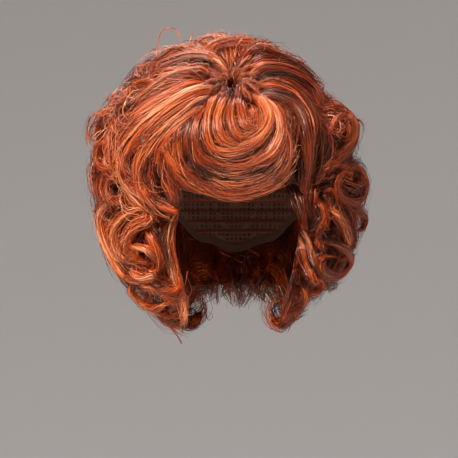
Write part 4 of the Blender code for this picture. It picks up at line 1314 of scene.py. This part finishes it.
# rows, fibres for each, width share, frizz, lift, share of loose fibres, fan
tables = [
    (between(fringeLocks, 2), 150, 0.75, 0.9, 0.0, 0.22, 0.9),
    (between(fringeFalls[1:], 2) + [fringeFalls[0]], 150, 0.8, 0.9, 0.0, 0.22, 0.9),
    (between(rightSweeps, 2), 90, 0.8, 0.8, 0.0, 0.22, 0.9),
    (rightLocks, 34, 1.0, 1.9, 0.0, 0.30, 1.2),
    (between(leftSweeps, 2), 90, 0.8, 0.8, 0.0, 0.22, 0.9),
    (leftLocks, 48, 1.0, 1.9, 0.0, 0.30, 1.2),
    (crownLocks, 130, 1.0, 1.2, 0.0, 0.22, 0.9),
    (rowLocks(), 90, 1.1, 2.2, 0.0, 0.38, 1.9),
    (looseCurls(rng), 12, 1.1, 3.0, 0.006, 0.30, 1.5),
]
paths = []
for rows, count, share, frizz, lift, loose, fan in tables:
    for row in rows:
        path = lockPath(row)
        path = (path[0] + path[1] * lift,) + path[1:]
        if row[8] > 0.45:
            paths.append((path, row))
        name = sectionOf(path[0][len(path[0]) // 2][None])[0]
        addStrands(heaps[name], path, row[8] * share, row[9], count, rng, frizz, loose, fan)
        addFlyaways(heaps[name], path, row[8], row[9], int(count * flyaway["share"] * min(frizz, 2.0)), rng)
roots = rootCourses()
for width, tone, lift, course in tracedLocks + tuple(roots):
    isRoot = (width, tone, lift, course) in roots
    path = tracedPath(width, lift, course)
    share = width / 1000 / lockStyle["width"]
    middle = path[0][len(path[0]) // 2]
    name = sectionOf(middle[None])[0]
    frizz = 0.7 + 1.1 * smoothStep(abs(middle[0]), 0.060, 0.100)
    if width > 3 and not isRoot:
        paths.append((path, (0, 0, 0, 0, 0, 0, 0, 0, share, tone)))
    dense = {"fringe": 20, "side_hair_right": 6.2}.get(name, 8)
    count = 24 if isRoot else int(14 + dense * width)
    frizz = 3.2 if isRoot else frizz
    addStrands(heaps[name], path, share, tone, count, rng, frizz, None if width > 3 else 0.0)
    if width > 3 and not isRoot:
        addFlyaways(heaps[name], path, share, tone, int(width), rng)
for path, tone in innerLocks():
    name = sectionOf(path[0][len(path[0]) // 2][None])[0]
    addStrands(heaps[name], path, inner["width"], tone, inner["fibres"], rng, 1.5)
print("locks:", len(paths))

underMass = makeUnder(paths)
print("dark mass under the locks:", len(underMass.data.polygons), "faces")
shareUnder(underMass, heaps)

materials = [modacrylicFibre(), hairMass()]
for node, section in sections.items():
    piece = buildPiece(section["piece"], heaps[node], materials)
    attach(piece, "root")
    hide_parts(node)
    triangles = sum(len(p.vertices) - 2 for p in piece.data.polygons)
    print("section", section["piece"], triangles, "triangles")


# Floor, light and camera
stage = {
    "radius": 4.2,
    "floorDrop": 1.05,        # below the cap's top
    "fillet": 2.2,
    "height": 5.0,
    "colour": "#BFBEBE",
}


def makeStage():
    # a pale floor that sweeps up all round, so that it shows plain from every side
    sides = 96
    rings = [(0.0, 0.0)]
    radius, fillet = stage["radius"], stage["fillet"]
    rings += [(radius - fillet, 0.0)]
    rings += [(radius - fillet + fillet * math.sin(a), fillet - fillet * math.cos(a))
              for a in np.linspace(0.13, math.pi / 2, 12)]
    rings += [(radius, stage["height"])]
    points, floor = [], -stage["floorDrop"]
    for r, z in rings[1:]:
        points += [(r * math.cos(2 * math.pi * k / sides), r * math.sin(2 * math.pi * k / sides), z + floor)
                   for k in range(sides)]
    faces = ringFaces(len(rings) - 1, sides, ends=False) + [tuple(range(sides))]
    obj = makeMesh("floor", points, faces)
    material, shader = newMaterial("mattPaper")
    # matt studio paper: plain, with no gloss
    grain = addNode(material, "ShaderNodeTexNoise", None, {"Scale": 900.0, "Detail": 2.0})
    tint = addNode(material, "ShaderNodeMapRange", None, {"To Min": 0.9, "To Max": 1.0}, {"Value": (grain, "Fac")})
    link(material, tint, "Result", shader, "Roughness")
    shader.inputs["Base Color"].default_value = linear(stage["colour"])
    shader.inputs["Specular IOR Level"].default_value = 0.1
    obj.data.materials.append(material)
    return obj


def addLight(name, place, size, power, colour):
    light = bpy.data.lights.new(name, "AREA")
    light.size = size
    light.energy = power
    light.color = linear(colour)[:3]
    obj = bpy.data.objects.new(name, light)
    bpy.context.scene.collection.objects.link(obj)
    obj.location = place
    aim = Vector((0.0, 0.0, -0.08)) - Vector(place)
    obj.rotation_euler = aim.to_track_quat("-Z", "Y").to_euler()
    obj.visible_camera = False
    return obj


makeStage()
addLight("keyLight", (-1.05, -1.75, 1.25), 0.80, 112.0, "#FFF4EA")
addLight("fillLight", (1.7, -1.5, 0.1), 1.2, 10.0, "#FFF8F2")
addLight("topLight", (-0.3, 0.6, 1.7), 0.9, 36.0, "#FFFFFF")
world = bpy.data.worlds.new("studio")
bpy.context.scene.world = world
world.use_nodes = True
world.node_tree.nodes["Background"].inputs["Color"].default_value = linear("#E6E6EA")
world.node_tree.nodes["Background"].inputs["Strength"].default_value = 0.36

cameraData = bpy.data.cameras.new("camera")
camera = bpy.data.objects.new("camera", cameraData)
bpy.context.scene.collection.objects.link(camera)
field = photo["size"] * photo["mmPerPixel"] / 1000
cameraData.sensor_width = 36.0
cameraData.lens = 36.0 * photo["distance"] / field
half = photo["size"] / 2
camera.location = ((half - photo["middleX"]) * photo["mmPerPixel"] / 1000, -photo["distance"],
                   (photo["topY"] - half) * photo["mmPerPixel"] / 1000)
camera.rotation_euler = (math.pi / 2, 0.0, 0.0)
bpy.context.scene.camera = camera
bpy.context.scene.view_settings.view_transform = "Standard"
